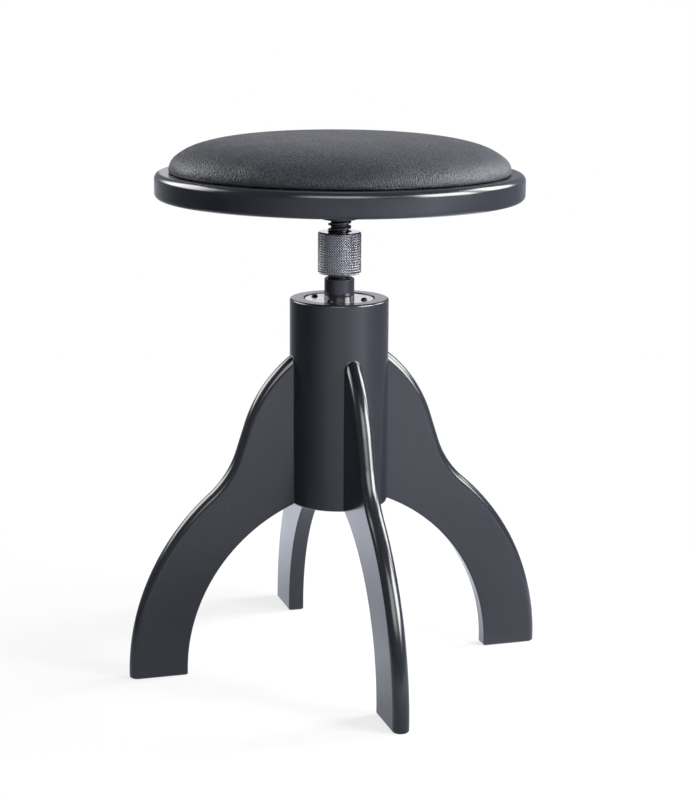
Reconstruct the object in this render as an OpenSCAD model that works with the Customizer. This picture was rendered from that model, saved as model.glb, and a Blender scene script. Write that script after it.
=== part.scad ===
// Revolving piano stool: a round padded seat on a screw spindle, which rises out of a
// turned column with four ogee legs. Millimetres, +Z up, the floor is z = 0 and the
// spindle is the Z axis. The legs point along -Y (front), +X (right), +Y and -X.

/* [Legs] */
// Thickness of the leg board
leg_t = 16; // [12:0.5:24]
// Radius of the curve along the inside of a leg
leg_inner_r = 172; // [150:1:200]
// Width of the curved lower half of a leg
leg_band = 56; // [40:1:75]
// How far the centre of the leg curves lies behind the column axis
leg_curve_back = 19; // [5:1:35]
// Height of the centre of the leg curves above the floor
leg_curve_z = 5; // [0:0.5:20]
// Lean of the straight flank between shoulder and hollow, from upright
flank_lean = 18; // [12:0.5:24]
// Length of that straight flank
flank_l = 28; // [10:1:45]
// Radius of the shoulder curve at the top of a leg
shoulder_r = 132; // [110:1:160]
// Steepness of the shoulder where it meets the column
shoulder_end = 53; // [45:0.5:60]
// Height of the top of a leg above the lower edge of the column
leg_top_rise = 146.5; // [120:0.5:170]
// Rounding of the two inner edges of a leg
leg_inner_round = 1.5; // [0.5:0.25:4]

/* [Dowels] */
// Diameter of a leg dowel
dowel_d = 10; // [6:0.5:12]
// Length of a leg dowel
dowel_l = 36; // [24:1:44]
// Height of the lowest dowel above the lower edge of the column
dowel_rise = 26; // [15:1:40]
// Distance between dowels up the leg
dowel_step = 48; // [30:1:56]
// Length of the chamfer at both ends of a dowel
dowel_chamfer = 1; // [0.25:0.25:2]

/* [Column] */
// Diameter of the turned column
column_d = 95; // [80:1:110]
// Height of the column from its lower to its upper edge
column_h = 200; // [180:1:230]
// Rounding of the column's upper edge
column_top_round = 3; // [0.5:0.25:6]
// Rounding of the column's lower edge
column_foot_round = 2; // [0.5:0.25:5]
// Depth of the blind bore for tube and spindle
bore_depth = 160; // [155:1:175]

/* [Top plate and tube] */
// Diameter of the steel plate let into the column's top
plate_d = 66.6; // [60:0.2:74]
// Thickness of the plate
plate_t = 3; // [2:0.25:5]
// How far the plate lies below the column's top
plate_set = 0.8; // [0:0.1:2]
// Shadow gap all round between plate and column
plate_gap = 0.7; // [0.2:0.1:1.5]
// Circle on which the plate's screws stand
plate_screw_circle = 51; // [44:0.5:54]
// Turn of the plate's screws from the legs
plate_screw_turn = 52; // [30:1:60]
// Outer diameter of the spindle tube
tube_d = 28.8; // [28:0.2:34]
// Wall of the tube
tube_wall = 1.5; // [1:0.1:1.6]
// Length of the tube
tube_l = 100; // [80:1:120]
// Height of the tube above the plate
tube_rise = 20; // [12:1:30]
// Chamfer of the tube's upper rim
tube_chamfer = 0.8; // [0.2:0.1:1.2]
// How far the nut in the tube lies below the rim
nut_set = 0.6; // [0.2:0.1:3]
// Length of the nut in the tube
nut_l = 44; // [36:1:50]

/* [Spindle] */
// Outer diameter of the trapezoidal thread
thread_d = 22; // [20:0.5:23]
// Pitch of the thread, which is the rise in one turn
thread_pitch = 5; // [4:0.5:6]
// Depth of the thread
thread_depth = 2.5; // [1.8:0.1:3]
// Radial clearance between a nut's thread and the spindle's
thread_clear = 0.3; // [0.2:0.05:0.4]
// Clearance on each flank of the thread, along the axis
flank_clear = 0.2; // [0.15:0.05:0.3]
// How far below the hub the thread passes +X
thread_drop = 8.5; // [6:0.5:12]
// Diameter of the plain upper end, held in the hub
spindle_end_d = 16; // [12:0.5:16.5]
// Lift of the seat from its lowest to its highest place
seat_lift = 100; // [60:5:105]

/* [Stop below the spindle] */
// Outer diameter of the stop washer
stop_d = 24.8; // [24:0.1:25]
// Thickness of the stop washer
stop_t = 3; // [2:0.25:5]
// Diameter of the stop screw's shoulder
stop_shoulder_d = 11; // [9:0.5:13]
// Running clearance between shoulder and washer, on the radius
stop_fit = 0.05; // [0.02:0.01:0.1]
// Diameter of the stop screw's head
stop_head_d = 17; // [15:0.5:20]
// Height of that head
stop_head_h = 5; // [3:0.5:8]
// Diameter of its threaded end, inside the spindle
stop_shank_d = 8; // [6:0.5:9]
// Length of its threaded end
stop_shank_l = 18; // [10:1:25]
// Width across the flats of its socket
stop_socket = 6; // [4:0.5:8]

/* [Lock nut] */
// Diameter of the knurled lock nut
lock_d = 41.4; // [36:0.2:48]
// Height of the lock nut
lock_h = 40; // [30:1:48]
// Chamfer of its upper edge
lock_top_chamfer = 1.8; // [0.5:0.1:3]
// Chamfer of its lower edge
lock_foot_chamfer = 1.2; // [0.5:0.1:3]
// Gap between tube and lock nut in the pictured state
lock_gap = 4.3; // [2:0.1:8]
// Bare thread between lock nut and hub in the pictured state
neck_gap = 11.5; // [8:0.1:20]
// Diameter of the lock nut's inner bore, which holds its threaded core
lock_bore_d = 29; // [27:0.2:32]
// Thickness of the wall above the threaded core
lock_roof = 2.5; // [1.5:0.25:5]
// Depth of the recess for the friction ring
ring_recess = 3; // [2:0.25:5]
// Outer diameter of the friction ring
ring_d = 28.2; // [26:0.2:28.4]
// Hole of the friction ring
ring_bore_d = 23.6; // [23.4:0.1:24.4]

/* [Hub and seat plate] */
// Diameter of the hub under the seat
hub_d = 34; // [28:0.5:40]
// Height of the hub
hub_h = 17; // [12:0.5:24]
// Diameter of the hub's set screw
set_screw_d = 6; // [4:0.5:8]
// Width across the flats of the set screw's socket
set_screw_socket = 3; // [2:0.25:4]
// Depth of that socket
set_screw_socket_h = 2.5; // [1.5:0.25:3]
// Diameter of the seat plate
seat_plate_d = 110; // [90:1:140]
// Thickness of the seat plate
seat_plate_t = 4; // [3:0.25:6]
// Circle on which its screws stand
seat_plate_circle = 86; // [60:1:96]

/* [Seat board] */
// Diameter of the seat board
seat_d = 350; // [300:1:400]
// Thickness of the seat board
seat_t = 24; // [20:0.5:30]
// Rounding of its upper edge
seat_top_round = 6; // [2:0.5:9]
// Rounding of its lower edge
seat_foot_round = 5; // [2:0.5:9]

/* [Cushion] */
// Largest diameter of the cushion
cushion_d = 322.6; // [280:0.2:326]
// Height of the crown above the seat board
cushion_h = 35.6; // [26:0.2:50]
// Height above the seat board at which the cushion is widest
cushion_belly = 2.8; // [2:0.1:8]
// How far its sides draw in below that, down to the board
cushion_tuck = 2.2; // [0.5:0.1:5]
// Thickness of the covering
cover_t = 1.2; // [0.8:0.1:2]
// Clearance between covering and padding
cover_gap = 0.1; // [0.05:0.05:0.3]
// Width of the covering turned in below the cushion's board
cover_lip = 24; // [15:1:35]
// Thickness of the cushion's board
cushion_board_t = 9; // [6:0.5:12]
// How far the cushion's board stays inside the cushion's widest line
cushion_board_inset = 8; // [5:0.5:15]
// Circle on which the cushion's screws stand
cushion_screw_circle = 220; // [160:2:230]
// Number of staples in the turned-in covering
staples = 32; // [16:4:48]
// Width of a staple
staple_w = 10; // [6:0.5:12]
// Length of a staple's legs
staple_l = 7; // [4:0.5:8]
// Thickness of the staple wire
staple_t = 0.6; // [0.4:0.1:0.8]

/* [Screws] */
// Shank diameter of the plate's countersunk wood screws
plate_screw_d = 3.5; // [3:0.1:4.5]
// Head diameter of those screws
plate_screw_head_d = 7; // [6:0.1:8.5]
// Their length
plate_screw_l = 25; // [16:1:35]
// Shank diameter of the pan-head screws in seat plate and cushion
pan_screw_d = 4.5; // [3.5:0.1:5]
// Head diameter of the pan-head screws
pan_screw_head_d = 9; // [7:0.1:10]
// Head height of the pan-head screws
pan_screw_head_h = 3; // [2:0.1:4]
// Length of a seat plate screw below its head
seat_screw_l = 20; // [14:1:24]
// Depth of the counterbore that hides a cushion screw's head
cushion_screw_sink = 7; // [5:0.5:12]
// Diameter of that counterbore
cushion_sink_d = 12; // [11:0.5:16]

/* [Hidden] */

$fn = 96;
// Overrun of every cut past the face it leaves
cut = 1;
// Clearance of a glued or driven piece in its hole, on the radius
fit = 0.05;
// Steps in a rounded edge and in the crown of the cushion
round_steps = 5;
crown_steps = 26;
// Steps along the band, the hollow and the shoulder of a leg, and round its nose
band_steps = 12;
hollow_steps = 7;
shoulder_steps = 7;
nose_steps = 10;
// Turns of the four legs about the column
leg_turns = [for (quarter = [0 : 3]) 90 * quarter];
// Sides of a thread, and the share of its pitch that the flat crest takes
thread_sides = 20;
crest_share = 0.366;
// Angle of a thread's flank from square
thread_flank = 15;
// Play along the axis above the stop washer, also kept at both ends of the seat's travel
stop_play = 0.3;
// Play of the friction ring below the threaded core
ring_play = 0.3;
// Depth of a cross recess, its arm and the width of that arm as shares of the head
recess_share = 0.22;
recess_arm_share = 0.62;
recess_width_share = 0.16;
// Length of a screw's point in shank diameters
point_share = 1.2;
// Fullness of the crown: along the radius, and up the height
crown_side_power = 3.5;
crown_top_power = 2.02;

// Colours
lacquer = [0.115, 0.12, 0.13];
leather = [0.2, 0.21, 0.225];
gunmetal = [0.36, 0.36, 0.39];
zinc = [0.74, 0.74, 0.76];
blackened = [0.1, 0.1, 0.12];
timber = [0.8, 0.65, 0.45];

// Radii
leg_outer_r = leg_inner_r + leg_band;
nose_r = leg_t / 2;
column_r = column_d / 2;
plate_r = plate_d / 2;
tube_r = tube_d / 2;
tube_bore_r = tube_r - tube_wall;
bore_r = tube_r + fit;
thread_r = thread_d / 2;
core_r = thread_r - thread_depth;
seat_r = seat_d / 2;
cushion_r = cushion_d / 2;

// Heights, from the floor up
column_z0 = leg_curve_z + sqrt(pow(leg_inner_r, 2) - pow(column_r + leg_curve_back, 2));
column_z1 = column_z0 + column_h;
leg_top_z = column_z0 + leg_top_rise;
plate_z1 = column_z1 - plate_set;
plate_z0 = plate_z1 - plate_t;
tube_z1 = plate_z1 + tube_rise;
tube_z0 = tube_z1 - tube_l;
nut_z1 = tube_z1 - nut_set;
nut_z0 = nut_z1 - nut_l;
lock_z0 = tube_z1 + lock_gap;
lock_z1 = lock_z0 + lock_h;
hub_z0 = lock_z1 + neck_gap;
hub_z1 = hub_z0 + hub_h;
seat_z0 = hub_z1 + seat_plate_t;
seat_z1 = seat_z0 + seat_t;
stop_z1 = nut_z0 - seat_lift - stop_play;
stop_z0 = stop_z1 - stop_t;
spindle_z0 = stop_z1 + stop_play;
thread_z = hub_z0 - thread_drop;
cushion_z0 = seat_z1 + staple_t;
cushion_board_z0 = cushion_z0 + cover_t;
cushion_board_z1 = cushion_board_z0 + cushion_board_t;

// Points along a circle's arc, from one angle to another
function arc(x, y, r, from, to, steps) = [for (i = [0 : steps])
    let (a = from + (to - from) * i / steps) [x + r * cos(a), y + r * sin(a)]];

// Half outline of a turned piece from z0 to z1, with rounded lower and upper edges
function turned(r, z0, z1, foot, top) = concat([[0, z0]],
    arc(r - foot, z0 + foot, foot, -90, 0, round_steps),
    arc(r - top, z1 - top, top, 0, 90, round_steps), [[0, z1]]);

// Leg outline. The curves of the leg are tangent arcs: the lower band about one centre,
// then the hollow, the straight flank and the shoulder, which ends on the column.
shoulder_x = column_r - shoulder_r * cos(shoulder_end);
shoulder_z = leg_top_z - shoulder_r * sin(shoulder_end);
flank_out = [cos(flank_lean), sin(flank_lean)];
flank_down = [sin(flank_lean), -cos(flank_lean)];
flank_top = [shoulder_x, shoulder_z] + shoulder_r * flank_out;
flank_foot = flank_top + flank_l * flank_down;
band_centre = [-leg_curve_back, leg_curve_z];
flank_reach = flank_foot - band_centre;
hollow_r = (flank_reach * flank_reach - pow(leg_outer_r, 2))
    / (2 * (leg_outer_r - flank_reach * flank_out));
hollow_centre = flank_foot + hollow_r * flank_out;
hollow_way = hollow_centre - band_centre;
hollow_turn = atan2(hollow_way[1], hollow_way[0]);
// Steps of a leg's outline from foot to column, and of its nose from side to side
leg_steps = band_steps + hollow_steps + shoulder_steps + 1;
leg_points = 2 * (leg_steps + 1);

// Outline of a leg at one step across its thickness, from the foot up the outer edge to the
// column and down the inner edge. The outer edge is a full round, the inner one is eased.
function leg_outline(turn) = let (
        y = nose_r * sin(turn),
        out = nose_r * (1 - cos(turn)),
        past = max(0, abs(y) - nose_r + leg_inner_round),
        in = leg_inner_round - sqrt(max(0, pow(leg_inner_round, 2) - pow(past, 2))),
        butt_x = sqrt(pow(column_r + fit, 2) - pow(y, 2)),
        outer_r = leg_outer_r - out,
        inner_r = leg_inner_r + in,
        top_r = shoulder_r - out,
        hollow = arc(hollow_centre[0], hollow_centre[1], hollow_r + out,
            180 + hollow_turn, 180 + flank_lean, hollow_steps),
        outline = concat(
            arc(band_centre[0], band_centre[1], outer_r,
                asin(-leg_curve_z / outer_r), hollow_turn, band_steps),
            [for (i = [1 : hollow_steps]) hollow[i]],
            arc(shoulder_x, shoulder_z, top_r,
                flank_lean, acos((butt_x - shoulder_x) / top_r), shoulder_steps),
            arc(band_centre[0], band_centre[1], inner_r, acos((butt_x + leg_curve_back) / inner_r),
                asin(-leg_curve_z / inner_r), leg_steps)))
    [for (p = outline) [p[0], y, p[1]]];

function quad(a, b, c, d) = [[a, b, c], [a, c, d]];
function reversed(faces) = [for (f = faces) [for (i = [len(f) - 1 : -1 : 0]) f[i]]];
// Flat side of a leg, from its outer edge across to its inner edge
function leg_side(start) = [for (i = [0 : leg_steps - 1])
    each quad(start + i, start + i + 1, start + leg_points - 2 - i, start + leg_points - 1 - i)];

// A leg as a board that stands in the XZ plane, with x running out from the column axis
module leg_board() {
    points = [for (k = [0 : nose_steps]) each leg_outline(180 * k / nose_steps - 90)];
    skin = [for (k = [0 : nose_steps - 1], i = [0 : leg_points - 1]) let (
            a = k * leg_points,
            b = a + leg_points,
            j = (i + 1) % leg_points)
        each quad(a + i, a + j, b + j, b + i)];
    polyhedron(points = points, faces = concat(skin, leg_side(nose_steps * leg_points),
        reversed(leg_side(0))));
}

module dowel_places() {
    for (step = [0 : 2])
        translate([column_r, 0, column_z0 + dowel_rise + step * dowel_step])
            rotate([0, 90, 0]) children();
}

module leg(turn) {
    color(lacquer) rotate([0, 0, turn]) difference() {
        leg_board();
        dowel_places() translate([0, 0, -cut])
            cylinder(h = dowel_l / 2 + fit + cut, r = dowel_d / 2 + fit);
    }
}

module leg_front() leg(-90);
module leg_right() leg(0);
module leg_back() leg(90);
module leg_left() leg(180);

module leg_dowels() {
    shank = dowel_l - 2 * dowel_chamfer;
    color(timber) for (turn = leg_turns) rotate([0, 0, turn]) dowel_places() {
        translate([0, 0, -shank / 2]) cylinder(h = shank, r = dowel_d / 2);
        for (end = [0, 1]) mirror([0, 0, end]) translate([0, 0, shank / 2])
            cylinder(h = dowel_chamfer, r1 = dowel_d / 2, r2 = dowel_d / 2 - dowel_chamfer);
    }
}

// Places of the four screws of a flange, on a circle
module on_circle(circle_d, turn) {
    for (quarter = [0 : 3]) rotate([0, 0, turn + 90 * quarter])
        translate([circle_d / 2, 0, 0]) children();
}

module column() {
    color(lacquer) difference() {
        rotate_extrude()
            polygon(turned(column_r, column_z0, column_z1, column_foot_round, column_top_round));
        translate([0, 0, plate_z0]) cylinder(h = column_h, r = plate_r + plate_gap);
        translate([0, 0, column_z1 - bore_depth]) cylinder(h = column_h, r = bore_r);
        for (turn = leg_turns) rotate([0, 0, turn]) dowel_places()
            translate([0, 0, -dowel_l / 2 - fit])
                cylinder(h = dowel_l / 2 + fit + cut, r = dowel_d / 2 + fit);
        translate([0, 0, plate_z1 - plate_screw_l - fit])
            on_circle(plate_screw_circle, plate_screw_turn)
                cylinder(h = plate_screw_l, r = plate_screw_d / 2 + fit);
    }
}

module top_plate() {
    head_r = plate_screw_head_d / 2 + fit;
    shank_r = plate_screw_d / 2 + fit;
    color(zinc) difference() {
        translate([0, 0, plate_z0]) cylinder(h = plate_t, r = plate_r);
        translate([0, 0, plate_z0 - cut]) cylinder(h = plate_t + 2 * cut, r = bore_r);
        on_circle(plate_screw_circle, plate_screw_turn) {
            translate([0, 0, plate_z0 - cut]) cylinder(h = plate_t + 2 * cut, r = shank_r);
            translate([0, 0, plate_z1 - head_r + shank_r])
                cylinder(h = head_r - shank_r, r1 = shank_r, r2 = head_r);
        }
    }
}

// Two crossed slots for a driver, sunk from z = 0 down
module cross_recess(head_d) {
    arm = head_d * recess_arm_share;
    slot = head_d * recess_width_share;
    depth = head_d * recess_share;
    for (turn = [0, 90]) rotate([0, 0, turn])
        translate([-arm / 2, -slot / 2, -depth]) cube([arm, slot, depth + cut]);
}

// A screw's shank with its point, from z = 0 down
module screw_shank(shank_r, length) {
    point = 2 * shank_r * point_share;
    translate([0, 0, point - length]) cylinder(h = length - point, r = shank_r);
    translate([0, 0, -length]) cylinder(h = point, r1 = 0, r2 = shank_r);
}

module plate_screws() {
    head_r = plate_screw_head_d / 2;
    shank_r = plate_screw_d / 2;
    head_h = head_r - shank_r;
    color(blackened) translate([0, 0, plate_z1])
        on_circle(plate_screw_circle, plate_screw_turn) difference() {
            union() {
                translate([0, 0, -head_h]) cylinder(h = head_h, r1 = shank_r, r2 = head_r);
                translate([0, 0, -head_h]) screw_shank(shank_r, plate_screw_l - head_h);
            }
            cross_recess(plate_screw_head_d);
        }
}

module guide_tube() {
    rim = [[tube_bore_r, tube_z0], [tube_r, tube_z0], [tube_r, tube_z1 - tube_chamfer],
        [tube_r - tube_chamfer, tube_z1], [tube_bore_r, tube_z1]];
    color(blackened) rotate_extrude() polygon(rim);
}

// Thread. One turn has thread_sides steps, and each step holds the four corners of the
// profile, which joins its own first corner one pitch higher.
flank_w = thread_depth * tan(thread_flank);
crest_w = thread_pitch * crest_share;

// The spindle's ridge, from the foot of its lower flank
ridge = [[core_r, 0], [thread_r, flank_w], [thread_r, flank_w + crest_w],
    [core_r, 2 * flank_w + crest_w]];
// A nut's groove round that ridge, from its own upper corner
groove_r = thread_r + thread_clear;
nut_core_r = core_r + thread_clear;
groove = [[groove_r, flank_w + crest_w + flank_clear],
    [nut_core_r, 2 * flank_w + crest_w + flank_clear],
    [nut_core_r, thread_pitch - flank_clear], [groove_r, thread_pitch + flank_w - flank_clear]];

function ring(r, z) = [for (i = [0 : thread_sides - 1])
    let (a = 360 * i / thread_sides) [r * cos(a), r * sin(a), z]];

// First full turn at or above z, and number of whole turns that end below a height
function first_turn(z) = thread_z + thread_pitch * ceil((z - thread_z) / thread_pitch);
function turns_below(from, z) = floor((z - from) / thread_pitch) - 1;

// Points of a screwed surface: a ring below, the profile's corners at each step, a ring above
function screw_points(profile, ring_r, z0, z1, z, turns) = concat(ring(ring_r, z0),
    [for (i = [0 : (turns + 1) * thread_sides], c = profile)
        let (a = 360 * i / thread_sides)
        [c[0] * cos(a), c[0] * sin(a), z + c[1] + thread_pitch * i / thread_sides]],
    ring(ring_r, z1));

// Its faces, when the lower ring is the first of the points
function screw_faces(turns) = let (
        n = thread_sides,
        steps = turns * n,
        end = n + 4 * steps,
        top = end + 4 * (n + 1))
    concat(
        [for (i = [0 : n - 1]) each quad(i, (i + 1) % n, n + 4 * (i + 1), n + 4 * i)],
        [for (i = [0 : steps - 1], j = [0 : 3]) let (
            p = n + 4 * i + j,
            q = j < 3 ? p + 1 : n + 4 * (i + n))
            each quad(p, p + 4, q + 4, q)],
        [[n, n + 1, n + 2, n + 3]], quad(0, n, n + 3, n + 4 * n),
        [for (i = [0 : n - 1]) let (p = end + 4 * i)
            each quad(p, p + 4, top + (i + 1) % n, top + i)],
        [[end + 3, end + 2, end + 1, end]], quad(top, end + 4 * n, end + 3, end));

// Band of faces from one ring of points to another, and the face that closes a ring
function band(low, high) = [for (i = [0 : thread_sides - 1]) let (j = (i + 1) % thread_sides)
    each quad(low + i, low + j, high + j, high + i)];
function cap(start) = [for (i = [0 : thread_sides - 1]) start + i];

module spindle() {
    z = first_turn(spindle_z0 + thread_pitch / 2);
    turns = turns_below(z, hub_z0);
    n = thread_sides;
    hole_r = (stop_shank_d / 2 + fit) / cos(180 / n);
    end_r = spindle_end_d / 2;
    screwed = screw_points(ridge, core_r - thread_clear, spindle_z0, hub_z0, z, turns);
    s = len(screwed);
    points = concat(screwed, ring(end_r, hub_z0), ring(end_r, seat_z0 - fit),
        ring(hole_r, spindle_z0), ring(hole_r, spindle_z0 + stop_shank_l + fit));
    color(blackened) polyhedron(points = points, faces = reversed(concat(
        screw_faces(turns), band(s - n, s), band(s, s + n), [cap(s + n)],
        reversed(concat(band(0, s + 2 * n), band(s + 2 * n, s + 3 * n), [cap(s + 3 * n)])))));
}

// A threaded sleeve: a true thread inside, its outside a prism that fits a round bore
module threaded_core(z0, z1, outer_r) {
    n = thread_sides;
    z = first_turn(z0);
    turns = turns_below(z, z1);
    screwed = screw_points(groove, groove_r + flank_clear, z0, z1, z, turns);
    s = len(screwed);
    points = concat(screwed, ring(outer_r, z0), ring(outer_r, z1));
    polyhedron(points = points, faces = concat(screw_faces(turns),
        band(s - n, s + n), reversed(band(s, s + n)), reversed(band(0, s))));
}

module spindle_nut() color(gunmetal) threaded_core(nut_z0, nut_z1, tube_bore_r);

module lock_nut_core() {
    color(zinc) threaded_core(lock_z0 + ring_recess, lock_z1 - lock_roof, lock_bore_d / 2);
}

module stop_washer() {
    color(zinc) difference() {
        translate([0, 0, stop_z0]) cylinder(h = stop_t, r = stop_d / 2);
        translate([0, 0, stop_z0 - cut])
            cylinder(h = stop_t + 2 * cut, r = stop_shoulder_d / 2 + stop_fit);
    }
}

module stop_screw() {
    across = stop_socket / cos(30);
    color(blackened) difference() {
        union() {
            translate([0, 0, stop_z0 - stop_head_h]) cylinder(h = stop_head_h, r = stop_head_d / 2);
            translate([0, 0, stop_z0]) cylinder(h = spindle_z0 - stop_z0, r = stop_shoulder_d / 2);
            translate([0, 0, stop_z0])
                cylinder(h = spindle_z0 - stop_z0 + stop_shank_l, r = stop_shank_d / 2);
        }
        translate([0, 0, stop_z0 - stop_head_h - cut])
            cylinder(h = stop_head_h / 2 + cut, d = across, $fn = 6);
    }
}

module lock_nut() {
    mouth_r = groove_r + thread_clear;
    outline = [[mouth_r, lock_z1 - lock_roof], [mouth_r, lock_z1],
        [lock_d / 2 - lock_top_chamfer, lock_z1], [lock_d / 2, lock_z1 - lock_top_chamfer],
        [lock_d / 2, lock_z0 + lock_foot_chamfer], [lock_d / 2 - lock_foot_chamfer, lock_z0],
        [lock_bore_d / 2, lock_z0], [lock_bore_d / 2, lock_z1 - lock_roof]];
    color(gunmetal) rotate_extrude() polygon(outline);
}

module lock_ring() {
    color(blackened) difference() {
        translate([0, 0, lock_z0]) cylinder(h = ring_recess - ring_play, r = ring_d / 2);
        translate([0, 0, lock_z0 - cut]) cylinder(h = ring_recess + 2 * cut, r = ring_bore_d / 2);
    }
}

module seat_hub() {
    color(blackened) difference() {
        translate([0, 0, hub_z0]) cylinder(h = hub_h, r = hub_d / 2);
        translate([0, 0, hub_z0 - cut])
            cylinder(h = hub_h + 2 * cut, r = spindle_end_d / 2 + fit);
        translate([0, 0, hub_z0 + hub_h / 2]) rotate([0, 90, 0])
            cylinder(h = hub_d, r = set_screw_d / 2 + fit);
    }
}

module hub_set_screw() {
    across = set_screw_socket / cos(30);
    depth = set_screw_socket_h;
    length = (hub_d - spindle_end_d) / 2 - 2 * fit;
    color(blackened) translate([spindle_end_d / 2 + fit, 0, hub_z0 + hub_h / 2])
        rotate([0, 90, 0]) difference() {
            cylinder(h = length, r = set_screw_d / 2);
            translate([0, 0, length - depth]) cylinder(h = depth + cut, d = across, $fn = 6);
        }
}

module seat_plate() {
    color(blackened) difference() {
        translate([0, 0, hub_z1]) cylinder(h = seat_plate_t, r = seat_plate_d / 2);
        translate([0, 0, hub_z1 - cut])
            cylinder(h = seat_plate_t + 2 * cut, r = spindle_end_d / 2 + fit);
        translate([0, 0, hub_z1 - cut]) on_circle(seat_plate_circle, 45)
            cylinder(h = seat_plate_t + 2 * cut, r = pan_screw_d / 2 + fit);
    }
}

// A pan-head screw that points up, with its head's upper face at z = 0
module pan_screw(length) {
    head_r = pan_screw_head_d / 2;
    rim = pan_screw_head_h / 3;
    difference() {
        union() {
            translate([0, 0, -rim]) cylinder(h = rim, r = head_r);
            translate([0, 0, -pan_screw_head_h])
                cylinder(h = pan_screw_head_h - rim, r1 = head_r - rim, r2 = head_r);
            mirror([0, 0, 1]) screw_shank(pan_screw_d / 2, length);
        }
        translate([0, 0, -pan_screw_head_h]) mirror([0, 0, 1]) cross_recess(pan_screw_head_d);
    }
}

module seat_plate_screws() {
    color(zinc) translate([0, 0, hub_z1]) on_circle(seat_plate_circle, 45)
        pan_screw(seat_screw_l);
}

module seat_board() {
    color(lacquer) difference() {
        rotate_extrude()
            polygon(turned(seat_r, seat_z0, seat_z1, seat_foot_round, seat_top_round));
        translate([0, 0, hub_z1]) on_circle(seat_plate_circle, 45)
            cylinder(h = seat_screw_l + fit, r = pan_screw_d / 2 + fit);
        on_circle(cushion_screw_circle, 0) {
            translate([0, 0, seat_z0 - cut])
                cylinder(h = cushion_screw_sink + cut, r = cushion_sink_d / 2);
            translate([0, 0, seat_z0]) cylinder(h = seat_t + cut, r = pan_screw_d / 2 + fit);
        }
    }
}

cushion_screw_l = cushion_board_z0 + cushion_board_t / 2 - seat_z0 - cushion_screw_sink;

module cushion_screws() {
    color(zinc) translate([0, 0, seat_z0 + cushion_screw_sink])
        on_circle(cushion_screw_circle, 0) pan_screw(cushion_screw_l);
}

module cushion_board() {
    color(timber) difference() {
        translate([0, 0, cushion_board_z0])
            cylinder(h = cushion_board_t, r = cushion_r - cushion_board_inset);
        translate([0, 0, seat_z0]) on_circle(cushion_screw_circle, 0)
            cylinder(h = cushion_screw_sink + cushion_screw_l + fit, r = pan_screw_d / 2 + fit);
        staple_places() staple(fit);
    }
}

// Crown of the cushion as half an outline, from the middle out to its widest line, drawn
// in on every side by an inset
function crown(inset) = [for (i = [0 : crown_steps]) let (
        a = 90 - 90 * i / crown_steps,
        r = cushion_r - inset,
        h = cushion_h - cushion_belly - inset)
    [r * pow(cos(a), 2 / crown_side_power),
        seat_z1 + cushion_belly + h * pow(sin(a), 2 / crown_top_power)]];
// Its sides below the widest line, drawn in down to a height
function tucked_side(inset, foot) = let (drop = seat_z1 + cushion_belly - foot)
    [for (i = [1 : round_steps]) let (a = 90 * i / round_steps)
        [cushion_r - inset - cushion_tuck * (1 - cos(a)),
            seat_z1 + cushion_belly - drop * sin(a)]];

module foam_pad() {
    inset = cover_t + cover_gap;
    foot = cushion_board_z0 + cover_gap;
    side = tucked_side(inset, foot);
    board_r = cushion_r - cushion_board_inset + cover_gap;
    color("ivory") rotate_extrude() polygon(concat(crown(inset), side,
        [[board_r, foot], [board_r, cushion_board_z1], [0, cushion_board_z1]]));
}

module cushion_cover() {
    lip_r = cushion_r - cushion_board_inset - cover_lip;
    inside = concat(crown(cover_t), tucked_side(cover_t, cushion_board_z0));
    outside = concat(crown(0), tucked_side(0, cushion_z0));
    color(leather) difference() {
        rotate_extrude() polygon(concat(outside, [[lip_r, cushion_z0], [lip_r, cushion_board_z0]],
            [for (i = [len(inside) - 1 : -1 : 0]) inside[i]]));
        staple_places() staple(fit);
    }
}

// A staple from below: its crown lies on the covering, its legs stand in the board
module staple(grow) {
    for (side = [-1, 1]) translate([side * (staple_w - staple_t) / 2, 0, staple_l / 2])
        cube([staple_t + 2 * grow, staple_t + 2 * grow, staple_l + 2 * grow], center = true);
    translate([0, 0, -staple_t / 2])
        cube([staple_w + 2 * grow, staple_t + 2 * grow, staple_t + 2 * grow], center = true);
}

module staple_places() {
    for (i = [0 : staples - 1]) rotate([0, 0, 360 * (i + 1 / 2) / staples])
        translate([cushion_r - cushion_board_inset - cover_lip / 2, 0, cushion_z0])
            rotate([0, 0, 90]) children();
}

module cover_staples() color(zinc) staple_places() staple(0);

column();
leg_front();
leg_right();
leg_back();
leg_left();
leg_dowels();
top_plate();
plate_screws();
guide_tube();
spindle_nut();
spindle();
stop_washer();
stop_screw();
lock_nut();
lock_nut_core();
lock_ring();
seat_hub();
hub_set_screw();
seat_plate();
seat_plate_screws();
seat_board();
cushion_screws();
cushion_board();
foam_pad();
cushion_cover();
cover_staples();
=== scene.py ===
# %% [markdown]
# # A revolving piano stool
# The construction is fixed: it comes packed from the CAD side, and every measure below repeats
# its drawing. What is made here is how the stool looks. The camera comes first, then the
# helpers that turn outlines into metal and wood, then each piece with its finish.

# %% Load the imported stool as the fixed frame
import bmesh
import bpy
import math
import numpy as np
from mathutils import Matrix, Vector
from mathutils.bvhtree import BVHTree


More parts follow.
